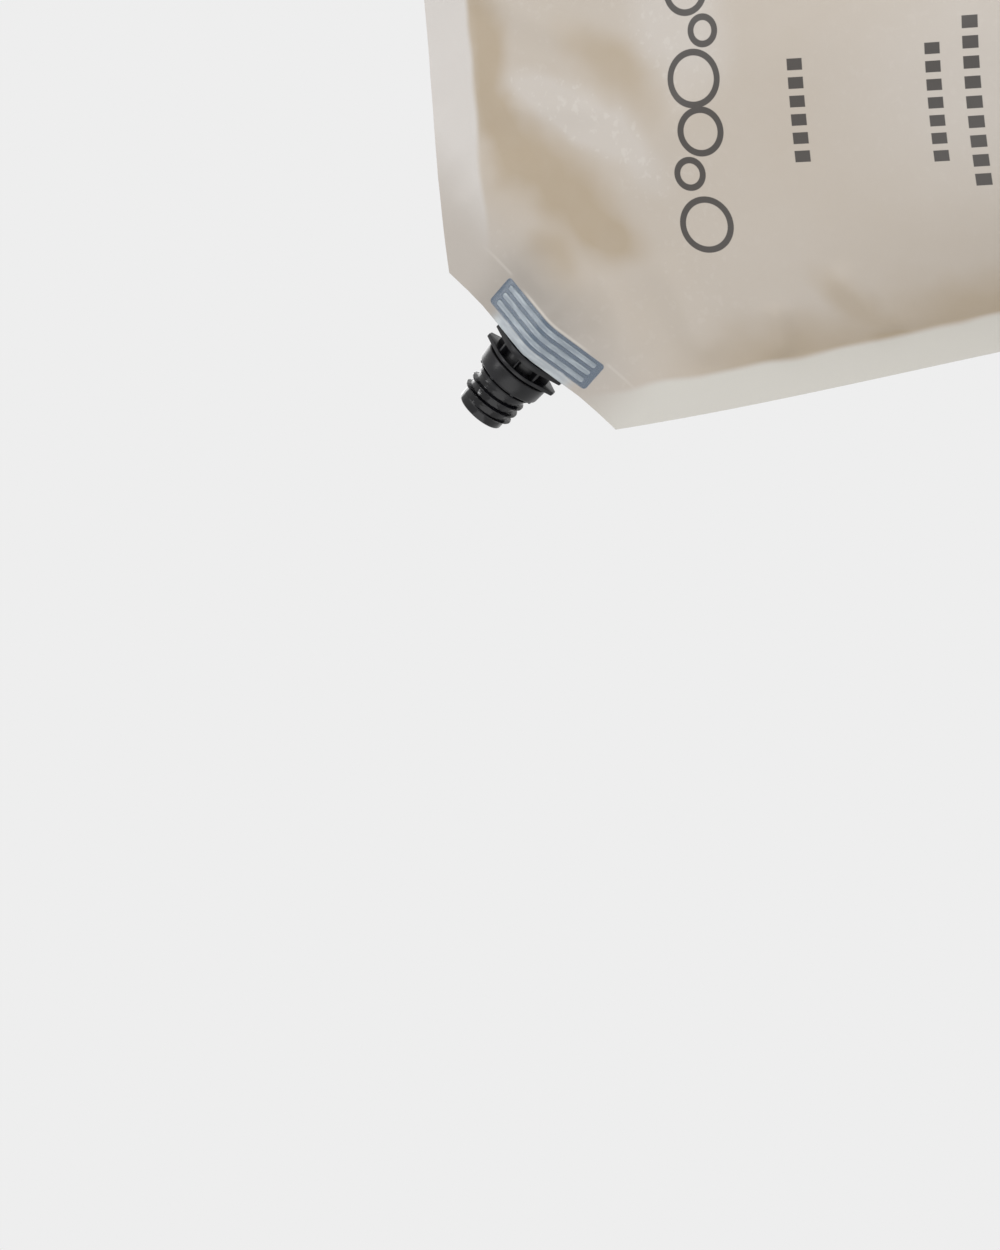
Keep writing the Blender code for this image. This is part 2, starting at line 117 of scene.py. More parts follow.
@dataclass
class PouchShape:
    """Sizes of the pouch, and the filled shape that follows from them."""

    width: float = 0.180
    height: float = 0.280
    film: float = 0.0004
    side_seal: float = 0.01125
    top_seal: float = 0.0132
    cut_top: float = 0.0535
    cut_side: float = 0.0435
    belly_depth: float = 0.036
    belly_top: float = 0.060
    taper: float = 1.7
    corner_run: float = 0.050
    lean_depth: float = 0.022
    lean_from: float = -0.042
    lean_to: float = 0.070
    lean_foot: float = 0.150
    gusset_fold: float = 0.045
    gusset_rise: float = 0.007
    gusset_curve: float = 2.2
    gusset_sag: float = 0.003
    fold_step: float = 0.008
    film_gap: float = 0.0003
    boat_gap: float = 0.00045
    boat_fade: float = 0.044
    blend: float = 0.3
    boat_length: float = 0.039
    boat_radius: float = 0.008
    boat_end: float = 0.0012
    boat_top: float = 0.0026
    boat_rib: float = 0.0011
    boat_trough: float = 0.0018
    boat_trough_depth: float = 0.0009
    boat_ribs: int = 4
    boat_block: float = 0.0026

    @property
    def pocket_flat(self) -> float:
        """Half width of the flat film between its side seals."""
        return self.width / 2 - self.side_seal

    @property
    def foot_half(self) -> float:
        """Half width of the filled pocket at the floor."""
        return float(self.pocket_half(np.float64(0.0)))

    @property
    def pocket_top(self) -> float:
        """Height of the top seal's inner edge."""
        return self.height - self.top_seal

    @property
    def boat_depth(self) -> float:
        """How far the weld boat reaches inside the cut edge."""
        return self.boat_top + self.boat_ribs * self.boat_rib + (self.boat_ribs - 1) * self.boat_trough

    @property
    def corner_seal(self) -> float:
        """Width of the seal along the cut corner."""
        return self.boat_depth + self.film_gap

    def belly(self, z: Field) -> Field:
        """Half depth of the filled pouch on its middle line."""
        rise = np.clip((z - self.belly_top) / (self.pocket_top - self.belly_top), 0.0, 1.0)
        return self.belly_depth * (1 - rise**self.taper)

    def pocket_half(self, z: Field) -> Field:
        """Half width between the side seals, narrower where the film is bowed."""
        spare = self.pocket_flat**2 - 8 * self.belly(z) ** 2 / 3
        return (self.pocket_flat + np.sqrt(spare)) / 2

    def cut_ends(self) -> tuple[Field, Field]:
        """Upper and lower end of the cut corner's edge, as (x, z).

        Returns:
            The upper end and the lower end.
        """
        top = float(self.pocket_half(np.float64(self.height))) + self.side_seal
        level = self.height - self.cut_side
        low = float(self.pocket_half(np.float64(level))) + self.side_seal
        return np.array([self.cut_top - top, self.height]), np.array([-low, level])

    def cut_frame(self) -> tuple[Field, Field, Field]:
        """Middle of the cut edge, the direction along it and the direction into the pouch.

        Returns:
            The middle and the two directions, each as (x, z).
        """
        first, last = self.cut_ends()
        along = (last - first) / np.linalg.norm(last - first)
        return (first + last) / 2, along, np.array([-along[1], along[0]])

    def corner_coordinates(self, x: Field, z: Field) -> tuple[Field, Field]:
        """Distances along the cut edge from its middle, and inside it.

        Args:
            x: Places across the pouch.
            z: Heights.

        Returns:
            The distances along the edge and the distances inside it.
        """
        middle, along, into = self.cut_frame()
        across, up = x - middle[0], z - middle[1]
        return across * along[0] + up * along[1], across * into[0] + up * into[1]

    def boat_half(self, along: Field) -> Field:
        """Half thickness of the weld boat at a distance from its middle.

        Args:
            along: Distances along the cut edge.

        Returns:
            The half thicknesses.
        """
        half, end = self.boat_length / 2, self.boat_end / 2
        start, height, _ = wing_tangent(self.boat_radius, half, end)
        along = np.abs(along)
        middle = np.sqrt(np.maximum(self.boat_radius**2 - along**2, 0.0))
        wing = height + (end - height) * (along - start) / (half - start)
        return np.where(along <= start, middle, wing)

    def boat_cover(self, along: Field) -> Field:
        """Half gap of the film over the weld boat, closed past its ends.

        Args:
            along: Distances along the cut edge.

        Returns:
            The half gaps.
        """
        past = np.abs(along) - self.boat_length / 2
        closing = (self.boat_end / 2 + self.boat_gap) * np.clip(1 - past / self.fold_step, 0.0, 1.0)
        return np.where(past > 0, closing, self.boat_half(along) + self.boat_gap)

    def lean(self, x: Field, z: Field) -> Field:
        """How far the upper film sweeps back, most at the corner away from the spout."""
        across = smooth((x - self.lean_from) / (self.lean_to - self.lean_from))
        return self.lean_depth * across * smooth((z - self.lean_foot) / (self.height - self.lean_foot))

    def seal_half(self, z: Field) -> Field:
        """Half gap in a side seal, wider where the folded gusset lies in it."""
        folded = 1 - smooth((z - self.gusset_fold - self.film_gap) / self.fold_step)
        return self.film_gap / 2 + (self.film + self.film_gap) * folded

    def panel_inner(self, x: Field, z: Field) -> Field:
        """Distance of a panel's inner face from the pouch's middle plane.

        Args:
            x: Places across the pouch.
            z: Heights.

        Returns:
            The distances, one for each place.
        """
        along, inside = self.corner_coordinates(x, z)
        across = np.maximum(0.0, 1 - (x / self.pocket_half(z)) ** 2)
        run = np.clip((inside - self.corner_seal) / self.corner_run, 0.0, 1.0)
        pocket = self.seal_half(z) + self.belly(z) * across * (1 - (1 - run) ** 2)
        over = self.boat_cover(along) * (1 - smooth((inside - self.corner_seal) / self.boat_fade))
        return (pocket + over + np.sqrt((pocket - over) ** 2 + self.blend * pocket * over)) / 2

    def gusset_seal(self, x: Field) -> Field:
        """Height of the curved seal between a panel and the gusset."""
        share = np.clip(np.abs(x) / self.foot_half, 0.0, 1.0)
        return self.gusset_rise + (self.gusset_fold - self.gusset_rise) * share**self.gusset_curve

    def gusset_top(self, x: Field, share: Field) -> Field:
        """Height of the gusset between its skirts, share running from -1 at one to 1 at the other."""
        slack = 1 - np.clip(np.abs(x) / self.foot_half, 0.0, 1.0) ** 2
        return self.gusset_seal(x) - self.gusset_sag * slack * (1 - share**2)


def wing_tangent(radius: float, half_length: float, half_end: float) -> tuple[float, float, float]:
    """Find where a straight wing leaves a round middle.

    Args:
        radius: Radius of the round middle.
        half_length: Distance of the wing's end from the middle.
        half_end: Half thickness of the wing's end.

    Returns:
        The tangent point's two coordinates and its angle.
    """
    reach = math.hypot(half_length, half_end)
    angle = math.atan2(half_end, half_length) + math.acos(min(radius / reach, 1.0))
    return radius * math.cos(angle), radius * math.sin(angle), angle


# Mesh helpers


def new_grid(name: str, columns: int, rows: int) -> Piece:
    """Add a flat grid, one metre square, as a new piece.

    Args:
        name: Name of the piece.
        columns: Number of its faces across.
        rows: Number of its faces up.

    Returns:
        The new object, the only one selected.
    """
    bpy.ops.object.select_all(action="DESELECT")
    bpy.ops.mesh.primitive_grid_add(x_subdivisions=columns, y_subdivisions=rows, size=1.0)
    piece = bpy.context.object
    piece.name = name
    piece.data.name = name
    return piece


def read_points(piece: Piece) -> Field:
    """Read a mesh's vertices as rows of three numbers.

    Args:
        piece: The piece.

    Returns:
        Its vertices.
    """
    flat = np.empty(len(piece.data.vertices) * 3)
    piece.data.vertices.foreach_get("co", flat)
    return flat.reshape(-1, 3)


def write_points(piece: Piece, points: Field) -> None:
    """Move a mesh's vertices to new places."""
    piece.data.vertices.foreach_set("co", np.ascontiguousarray(points).ravel())
    piece.data.update()


def write_flat(piece: Piece, across: Field, up: Field) -> None:
    """Keep a sheet's flat places as its UV map.

    Args:
        piece: The sheet.
        across: Place of each vertex across the flat sheet.
        up: Place of each vertex up the flat sheet.
    """
    layer = piece.data.uv_layers.active or piece.data.uv_layers.new(name=FLAT_MAP)
    layer.name = FLAT_MAP
    corners = np.empty(len(piece.data.loops), dtype=np.int64)
    piece.data.loops.foreach_get("vertex_index", corners)
    layer.data.foreach_set("uv", np.column_stack((across, up))[corners].ravel())


def widen(flat: Field, half: Field, shape: PouchShape) -> Field:
    """Place of a flat sheet's points across the filled pouch, whose seals keep their width.

    Args:
        flat: Places across the flat sheet.
        half: Half width of the filled pocket at each of them.
        shape: The pouch.

    Returns:
        The places across the filled pouch.
    """
    inner = flat / shape.pocket_flat * half
    outer = np.sign(flat) * (half + np.abs(flat) - shape.pocket_flat)
    return np.where(np.abs(flat) <= shape.pocket_flat, inner, outer)


def only(piece: Piece) -> None:
    """Select one piece and make it active.

    Args:
        piece: The piece.
    """
    bpy.ops.object.select_all(action="DESELECT")
    piece.select_set(True)
    bpy.context.view_layer.objects.active = piece


def finish_sheet(piece: Piece, thickness: float, turned: bool) -> None:
    """Turn a sheet's faces outwards, then give it its wall and its shading.

    Args:
        piece: The sheet.
        thickness: Thickness of the wall, inwards from the face that is modelled.
        turned: Whether its faces point inwards.
    """
    only(piece)
    if turned:
        bpy.ops.object.mode_set(mode="EDIT")
        bpy.ops.mesh.select_all(action="SELECT")
        bpy.ops.mesh.flip_normals()
        bpy.ops.object.mode_set(mode="OBJECT")
    wall = piece.modifiers.new("wall", "SOLIDIFY")
    wall.thickness = thickness
    wall.offset = -1.0
    bpy.ops.object.modifier_apply(modifier=wall.name)
    shade(piece, SHEET_ANGLE)


def shade(piece: Piece, degrees: float) -> None:
    """Shade a piece smooth, with edges sharper than an angle left crisp."""
    only(piece)
    bpy.ops.object.shade_smooth_by_angle(angle=math.radians(degrees))


def settle(piece: Piece, finish: Material, node: str) -> None:
    """Dress a finished piece and put it on the model's body.

    Args:
        piece: The piece.
        finish: Its material.
        node: The solid that it stands for.
    """
    piece.data.materials.clear()
    piece.data.materials.append(finish)
    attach(piece, "root")
    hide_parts(node)
    LOG.info("%s: %d faces", piece.name, len(piece.data.polygons))


# Materials


class Nodes:
    """Lays out the nodes of one material or world."""

    def __init__(self, owner: Material | bpy.types.World) -> None:
        """Start on the owner's own nodes, a shader and an output.

        Args:
            owner: The material or world.
        """
        owner.use_nodes = True
        self.tree = owner.node_tree
        self.output = next(node for node in self.tree.nodes if node.type.startswith("OUTPUT"))
        self.shader = next(node for node in self.tree.nodes if node != self.output)

    def add(self, kind: str, **settings: object) -> bpy.types.Node:
        """Add a node and set its options.

        Args:
            kind: Kind of the node.
            settings: Its options.

        Returns:
            The node.
        """
        node = self.tree.nodes.new(kind)
        for key, value in settings.items():
            setattr(node, key, value)
        return node

    def feed(self, node: bpy.types.Node, values: dict[str | int, object]) -> Socket | None:
        """Feed a node's inputs and give its first output.

        Args:
            node: The node.
            values: A number, a colour, a vector or another node's output for each input, by its name or
                its number.

        Returns:
            The node's first output, where it has one.
        """
        for key, value in values.items():
            target = node.inputs[key]
            if isinstance(value, Socket):
                self.tree.links.new(value, target)
            elif isinstance(value, tuple) and target.type == "RGBA":
                target.default_value = (*value, 1.0)
            else:
                target.default_value = value
        return node.outputs[0] if node.outputs else None

    def maths(self, operation: str, *values: object, clamped: bool = False) -> Socket:
        """Work out one number from others."""
        node = self.add("ShaderNodeMath", operation=operation, use_clamp=clamped)
        return self.feed(node, dict(enumerate(values)))

    def times(self, first: object, second: object) -> Socket:
        """Product of two numbers."""
        return self.maths("MULTIPLY", first, second)

    def less(self, first: object, second: object) -> Socket:
        """First number less the second."""
        return self.maths("SUBTRACT", first, second)

    def most(self, first: object, second: object) -> Socket:
        """Larger of two numbers."""
        return self.maths("MAXIMUM", first, second)

    def scaled(self, value: object, factor: object, offset: object) -> Socket:
        """Number times a factor, plus an offset."""
        return self.maths("MULTIPLY_ADD", value, factor, offset)

    def apart(self, first: object, second: object) -> Socket:
        """Distance between two numbers."""
        return self.maths("ABSOLUTE", self.less(first, second))

    def length(self, first: Socket, second: Socket) -> Socket:
        """Length of a step with two parts at right angles."""
        return self.maths("SQRT", self.scaled(first, first, self.times(second, second)))

    def vector(self, operation: str, *values: object) -> Socket:
        """Work on vectors; the result is a number where the operation measures them.

        Args:
            operation: What is worked out.
            values: Vectors that go in.

        Returns:
            The result.
        """
        node = self.add("ShaderNodeVectorMath", operation=operation)
        self.feed(node, dict(enumerate(values)))
        return node.outputs["Value" if operation in ("DOT_PRODUCT", "LENGTH") else "Vector"]

    def ease(self, value: object, span: Span, start: float = 0.0) -> Socket:
        """Ease from 0 to 1 over a span.

        Args:
            value: The number to ease.
            span: Where the result is 0 and where it is 1, either way round.
            start: What both ends of the span count from.

        Returns:
            The eased number.
        """
        low, high = start + span[0], start + span[1]
        rising = low <= high
        ends = {"From Min": min(low, high), "From Max": max(low, high)}
        node = self.add("ShaderNodeMapRange", interpolation_type="SMOOTHSTEP")
        return self.feed(node, {"Value": value, **ends, "To Min": float(not rising), "To Max": float(rising)})

    def blend(self, share: object, first: object, second: object) -> Socket:
        """Mix two colours by a share.

        Args:
            share: Share of the second colour.
            first: First colour.
            second: Second colour.

        Returns:
            The mixed colour.
        """
        node = self.add("ShaderNodeMix", data_type="RGBA")
        self.feed(node, {"Factor": share, 6: first, 7: second})
        return node.outputs[2]

    def mix(self, share: object, first: Socket, second: Socket) -> Socket:
        """Mix two shaders by a share."""
        return self.feed(self.add("ShaderNodeMixShader"), {0: share, 1: first, 2: second})


class Paint(Nodes):
    """Nodes of a material, with patterns that follow the object's own coordinates."""

    def __init__(self, name: str) -> None:
        """Start a material of that name.

        Args:
            name: Name of the material.
        """
        self.material = bpy.data.materials.new(name)
        super().__init__(self.material)
        self.place = self.add("ShaderNodeTexCoord").outputs["Object"]

    def split(self, vector: Socket) -> tuple[Socket, ...]:
        """Three coordinates of a vector.

        Args:
            vector: The vector.

        Returns:
            Its coordinates.
        """
        node = self.add("ShaderNodeSeparateXYZ")
        self.feed(node, {0: vector})
        return tuple(node.outputs)

    def noise(self, scale: float, detail: float = 2.0, place: object = None) -> Socket:
        """Cloudy pattern whose grains measure about one over scale."""
        place = self.place if place is None else place
        return self.feed(self.add("ShaderNodeTexNoise"), {"Vector": place, "Scale": scale, "Detail": detail})

    def bump(self, height: object, distance: float, under: object = None) -> Socket:
        """Raise a pattern as a bump, over another bump where there is one.

        Args:
            height: The pattern.
            distance: Height where it is 1.
            under: The bump that it lies on.

        Returns:
            The bent normal.
        """
        values = {"Height": height, "Distance": distance}
        if under is not None:
            values["Normal"] = under
        return self.feed(self.add("ShaderNodeBump"), values)

    def from_cut(self, shape: PouchShape) -> tuple[Socket, Socket]:
        """Distances along the cut edge from its middle, and inside it.

        Args:
            shape: The pouch.

        Returns:
            The distances along the edge and inside it.
        """
        middle, along, into = shape.cut_frame()
        offset = self.vector("SUBTRACT", self.place, (middle[0], 0.0, middle[1]))
        first = self.vector("DOT_PRODUCT", offset, (along[0], 0.0, along[1]))
        return first, self.vector("DOT_PRODUCT", offset, (into[0], 0.0, into[1]))

    def dress(self, values: dict[str, object]) -> Material:
        """Feed the shader's inputs by name and give the finished material."""
        self.feed(self.shader, values)
        return self.material


class FilmPaint(Paint):
    """Nodes of a film, with the distances and the streaks that its pattern follows."""

    def __init__(self, name: str, shape: PouchShape) -> None:
        """Start a film's material.

        Args:
            name: Name of the material.
            shape: The pouch that the pattern follows.
        """
        super().__init__(name)
        self.shape = shape
        self.x, self.y, self.z = self.split(self.place)
        self.flat_x = self.split(self.add("ShaderNodeUVMap", uv_map=FLAT_MAP).outputs[0])[0]
        self.along, self.inside = self.from_cut(shape)
        self.reach = self.maths("ABSOLUTE", self.along)
        drawn = {0: self.times(self.along, STREAK_STRETCH), 2: self.inside}
        place = self.feed(self.add("ShaderNodeCombineXYZ"), drawn)
        self.streaks = self.ease(self.noise(900.0, 3.0, place), (0.38, 0.68))

    def bar(self, half: float, low: float, high: float, radius: float) -> Socket:
        """Mask of a bar with rounded corners that lies along the cut edge.

        Args:
            half: Half the bar's length.
            low: Distance of its outer side inside the cut edge.
            high: Distance of its inner side.
            radius: Radius of its corners.

        Returns:
            The mask, 1 on the bar.
        """
        past = self.most(self.less(self.reach, half - radius), 0.0)
        off = self.apart(self.inside, (low + high) / 2)
        beside = self.most(self.less(off, (high - low) / 2 - radius), 0.0)
        return self.ease(self.length(past, beside), BAR_EDGE, radius)


@dataclass(frozen=True)
class Cloud:
    """Soft patch of the film: strong where liquid lies against it, pale where froth does."""

    x: float
    z: float
    length: float
    width: float
    turn: float
    strength: float

    def share(self, kit: Paint, place: Socket) -> Socket:
        """How much of the patch lies at a place, from 0 to 1.

        Args:
            kit: The material being laid out.
            place: The place.

        Returns:
            The share.
        """
        turned = kit.feed(kit.add("ShaderNodeMapping", vector_type="TEXTURE"), {
            "Vector": place,
            "Location": (self.x, 0.0, self.z),
            "Rotation": (0.0, math.radians(-self.turn), 0.0),
            "Scale": (self.length, CLOUD_DEPTH, self.width),
        })
        return kit.ease(kit.vector("LENGTH", turned), (1.0, 0.15))


@dataclass(frozen=True)
class RingMark:
    """Printed ring."""

    x: float
    z: float
    radius: float
    stroke: float = 0.0019

    def mask(self, kit: Paint, x: Socket, z: Socket) -> Socket:
        """Mask of the ring, 1 on its stroke."""
        reach = kit.length(kit.less(x, self.x), kit.less(z, self.z))
        return kit.ease(kit.apart(reach, self.radius), PRINT_EDGE, self.stroke / 2)


@dataclass(frozen=True)
class LineMark:
    """Printed line of dashes."""

    x: float
    z: float
    dashes: int
    height: float
    pitch: float

    def mask(self, kit: Paint, x: Socket, z: Socket) -> Socket:
        """Mask of the line, 1 on its dashes.

        Args:
            kit: The material being laid out.
            x: Places across the pouch.
            z: Heights.

        Returns:
            The mask.
        """
        half = self.dashes * self.pitch / 2
        within = kit.ease(kit.apart(x, self.x), PRINT_EDGE, half)
        level = kit.ease(kit.apart(z, self.z), PRINT_EDGE, self.height / 2)
        phase = kit.maths("FRACT", kit.maths("DIVIDE", kit.less(x, self.x - half), self.pitch))
        return kit.times(kit.times(within, level), kit.ease(kit.apart(phase, 0.5), (0.33, 0.30)))


@dataclass(frozen=True)
class BoatMasks:
    """Masks of the weld boat as it shows through the film, each from 0 to 1."""

    over: Socket
    troughs: Socket
    cores: Socket
    root: Socket


@dataclass(frozen=True)
class FilmFinish:
    """Frosted film over soap: milky seals, tan clouds in the pocket and a clearer weld over the boat, with
    painted highlights round the boat and painted shade just inside it.
    """

    name: str
    clouds: tuple[Cloud, ...]
    printed: bool
    milk: Colour = srgb(212, 207, 202)
    side_milk: Colour = srgb(211, 208, 200)
    corner: Colour = srgb(187, 179, 170)
    pale: Colour = srgb(204, 196, 187)
    tan: Colour = srgb(180, 163, 139)
    # Froth flecks in the pocket; also the colour of the painted highlights along the weld boat's inner side
    # and at the corner seal's edge.
    foam_and_highlight: Colour = srgb(217, 211, 203)
    # Painted shade colour: greyer, darker film just inside the weld boat, where the film rises over it.
    shade_grey: Colour = srgb(158, 151, 143)
    weld: Colour = srgb(156, 167, 177)
    # Painted highlight colours: streaky glints and bright outlines in the boat's troughs, and the strip
    # outside the boat.
    glint: Colour = srgb(186, 197, 206)
    shine: Colour = srgb(216, 226, 232)
    rib: Colour = srgb(120, 136, 154)
    ink: Colour = srgb(56, 52, 50)
    ripple: float = 0.005
    side_edge: Span = (-0.0012, 0.0012)
    top_edge: Span = (-0.0015, 0.0010)
    corner_edge: Span = (0.0180, -0.0030)
    corner_reach: Span = (0.038, 0.018)
    corner_share: float = 0.93
    foot_edge: Span = (0.0006, -0.0005)
    foot_share: float = 0.75
    froth_share: float = 0.45
    froth_rise: Span = (0.180, 0.205)
    mottle_share: float = 0.12
    # Share, middle and reach of the painted shade just inside the weld boat.
    shade_grey_share: float = 0.70
    grey_middle: float = -0.009
    grey_inside: Span = (0.034, 0.012)
    grey_along: Span = (0.022, 0.006)
    window_tint: float = 0.95
    window_round: float = 0.0011
    # Shares of the painted highlights round the weld boat.
    glint_rim_share: float = 0.8
    root_highlight_share: float = 0.75
    seal_line_highlight_share: float = 0.30
    lip_highlight_share: float = 0.7
    ink_share: float = 0.94
    opacity: float = 0.93
    rib_clear: float = 0.42
    trough_clear: float = 0.22
    root_clear: float = 0.16
    roughness: float = 0.42
    uneven: float = 0.14
    gloss: float = 0.22

    def build(self, shape: PouchShape) -> Material:
        """Lay out the film's nodes.

        Args:
            shape: The pouch that the pattern follows.

        Returns:
            The material.
        """
        kit = FilmPaint(self.name, shape)
        masks = self.boat_masks(kit)
        colour = self.window(kit, masks, self.pocket(kit))
        if self.printed:
            colour = kit.blend(self.print_mask(kit), colour, self.ink)
        ribs = kit.maths("SUBTRACT", masks.over, masks.troughs, clamped=True)
        clear = kit.scaled(masks.troughs, self.trough_clear, kit.times(ribs, self.rib_clear))
        clear = kit.scaled(masks.root, self.root_clear, clear)
        rough = kit.scaled(kit.noise(90.0, 3.0), self.uneven, self.roughness - self.uneven / 2)
        soft = kit.bump(kit.noise(120.0), 0.00012, kit.bump(kit.noise(2400.0), 0.00002))
        sunk = kit.times(masks.troughs, kit.scaled(kit.streaks, -0.5, -0.75))
        return kit.dress({
            "Base Color": colour,
            "Alpha": kit.less(self.opacity, clear),
            "Roughness": kit.scaled(masks.over, -self.gloss, rough),
            "Sheen Weight": 0.12,
            "Sheen Roughness": 0.4,
            "Normal": kit.bump(sunk, 0.00022, soft),
        })

    def pocket(self, kit: FilmPaint) -> Socket:
        """Colour of the pocket and the seals round it, with painted shade on the film just inside the weld
        boat.

        Args:
            kit: The material being laid out.

        Returns:
            The colour.
        """
        shape = kit.shape
        ripple = kit.times(kit.less(kit.noise(38.0, 1.0), 0.5), self.ripple)
        side = kit.maths("ADD", kit.maths("ABSOLUTE", kit.flat_x), ripple)
        side = kit.ease(side, self.side_edge, shape.pocket_flat)
        top = kit.ease(kit.maths("ADD", kit.z, ripple), self.top_edge, shape.pocket_top)
        cut = kit.ease(kit.maths("ADD", kit.inside, ripple), self.corner_edge, shape.corner_seal)
        cut = kit.times(cut, kit.ease(kit.along, self.corner_reach))
        seal = kit.most(kit.most(side, top), self.foot_weld(kit))
        depth = self.depth(kit)
        colour = kit.blend(depth, self.pale, self.tan)
        colour = kit.blend(seal, colour, kit.blend(side, self.milk, self.side_milk))
        colour = kit.blend(kit.times(cut, self.corner_share), colour, self.corner)
        froth = kit.times(kit.ease(kit.noise(430.0), (0.56, 0.70)), kit.ease(depth, (0.45, 0.10)))
        froth = kit.times(froth, kit.scaled(kit.ease(kit.z, self.froth_rise), 0.75, 0.25))
        froth = kit.times(froth, kit.ease(seal, (0.6, 0.0)))
        colour = kit.blend(kit.times(froth, self.froth_share), colour, self.foam_and_highlight)
        colour = kit.blend(kit.times(kit.noise(130.0, 3.0), self.mottle_share), colour, self.milk)
        # Painted shade: the film just inside the weld boat is darkened to grey where it rises over the boat.
        off = kit.ease(kit.apart(kit.along, self.grey_middle), self.grey_along)
        near = kit.times(kit.ease(kit.inside, self.grey_inside), off)
        return kit.blend(kit.times(near, self.shade_grey_share), colour, self.shade_grey)

    def foot_weld(self, kit: FilmPaint) -> Socket:
        """Mask of the weld to the gusset, milky below its curved line.

        Args:
            kit: The material being laid out.

        Returns:
            The mask.
        """
        shape = kit.shape
        share = kit.maths("DIVIDE", kit.maths("ABSOLUTE", kit.x), shape.foot_half)
        curve = kit.maths("POWER", share, shape.gusset_curve)
        line = kit.scaled(curve, shape.gusset_fold - shape.gusset_rise, shape.gusset_rise)
        return kit.times(kit.ease(kit.less(kit.z, line), self.foot_edge), self.foot_share)

    def depth(self, kit: FilmPaint) -> Socket:
        """How strongly the liquid shows through the pocket, from 0 to 1.

        Args:
            kit: The material being laid out.

        Returns:
            The strength.
        """
        warp = kit.add("ShaderNodeTexNoise")
        kit.feed(warp, {"Vector": kit.place, "Scale": 26.0, "Detail": 3.0})
        shift = kit.vector("SUBTRACT", warp.outputs["Color"], (0.5, 0.5, 0.5))
        warped = kit.vector("ADD", kit.place, kit.vector("MULTIPLY", shift, CLOUD_WARP))
        total = kit.scaled(kit.noise(14.0, 3.0), 0.30, 0.17)
        for cloud in self.clouds:
            total = kit.scaled(cloud.share(kit, warped), cloud.strength, total)
        return kit.maths("ADD", total, 0.0, clamped=True)

    def boat_masks(self, kit: FilmPaint) -> BoatMasks:
        """Masks of the boat, its troughs, their middles and the strip of film outside it.

        Args:
            kit: The material being laid out.

        Returns:
            The masks.
        """
        shape = kit.shape
        half = shape.boat_length / 2
        end = half - shape.boat_block
        troughs: object = 0.0
        cores: object = 0.0
        for index in range(shape.boat_ribs - 1):
            low = shape.boat_top + shape.boat_rib + index * (shape.boat_rib + shape.boat_trough)
            high = low + shape.boat_trough
            troughs = kit.most(troughs, kit.bar(end + 0.0006, low + 0.0001, high - 0.0001, 0.0007))
            cores = kit.most(cores, kit.bar(end + 0.0002, low + 0.0004, high - 0.0004, 0.0004))
        over = kit.bar(half, shape.boat_top, shape.boat_depth, self.window_round)
        outside = kit.ease(kit.inside, (0.0004, -0.0004), shape.boat_top)
        return BoatMasks(over, troughs, cores, kit.times(outside, kit.ease(kit.reach, (0.0175, 0.0120))))

    def window(self, kit: FilmPaint, masks: BoatMasks, colour: Socket) -> Socket:
        """Colour of the film with the weld boat showing through it, and painted highlights over the boat and
        round it.

        Args:
            kit: The material being laid out.
            masks: Masks of the boat.
            colour: The film's colour without it.

        Returns:
            The colour.
        """
        shape = kit.shape
        # Painted highlights: streaky glints in the troughs and bright outlines along their edges.
        rim = kit.times(kit.maths("SUBTRACT", masks.troughs, masks.cores, clamped=True), kit.streaks)
        trough = kit.blend(kit.streaks, self.weld, self.glint)
        trough = kit.blend(kit.times(rim, self.glint_rim_share), trough, self.shine)
        boat = kit.blend(masks.troughs, self.rib, trough)
        colour = kit.blend(kit.times(masks.over, self.window_tint), colour, boat)
        # Painted highlight: the strip of film outside the boat, in the streaky glint and shine colours.
        root = kit.blend(kit.streaks, self.glint, self.shine)
        colour = kit.blend(kit.times(masks.root, self.root_highlight_share), colour, root)
        # Painted highlight: a pale line at the corner seal's edge beyond the boat's ends, over a weld line.
        line = kit.ease(kit.apart(kit.inside, shape.corner_seal + 0.0006), (0.0007, 0.0001))
        ends = kit.times(kit.ease(kit.reach, (0.0185, 0.0205)), kit.ease(kit.reach, (0.033, 0.026)))
        colour = kit.blend(kit.times(kit.times(line, ends), self.seal_line_highlight_share), colour, self.foam_and_highlight)
        # Painted highlight: a pale streak along the weld boat's inner side.
        rise, fall = (kit.ease(kit.inside, span, shape.boat_depth) for span in LIP_HIGHLIGHT_SPANS)
        lip = kit.times(kit.times(rise, fall), kit.ease(kit.reach, (0.0150, 0.0090)))
        return kit.blend(kit.times(lip, self.lip_highlight_share), colour, self.foam_and_highlight)

    def print_mask(self, kit: FilmPaint) -> Socket:
        """Mask of the printed marks: a row of rings like bubbles, and dashed lines under it.

        Args:
            kit: The material being laid out.

        Returns:
            The mask.
        """
        turn = math.radians(PRINT_TURN)
        across, up = kit.less(kit.x, PRINT_PIVOT[0]), kit.less(kit.z, PRINT_PIVOT[1])
        x = kit.scaled(up, math.sin(turn), kit.scaled(across, math.cos(turn), PRINT_PIVOT[0]))
        z = kit.scaled(across, -math.sin(turn), kit.scaled(up, math.cos(turn), PRINT_PIVOT[1]))
        ink: object = 0.0
        for mark in (*RINGS, *LINES):
            ink = kit.most(ink, mark.mask(kit, x, z))
        front = kit.ease(kit.y, (-0.0001, -0.0004))
        return kit.times(ink, kit.times(front, self.ink_share))


BAR_EDGE = (0.00018, -0.00018)
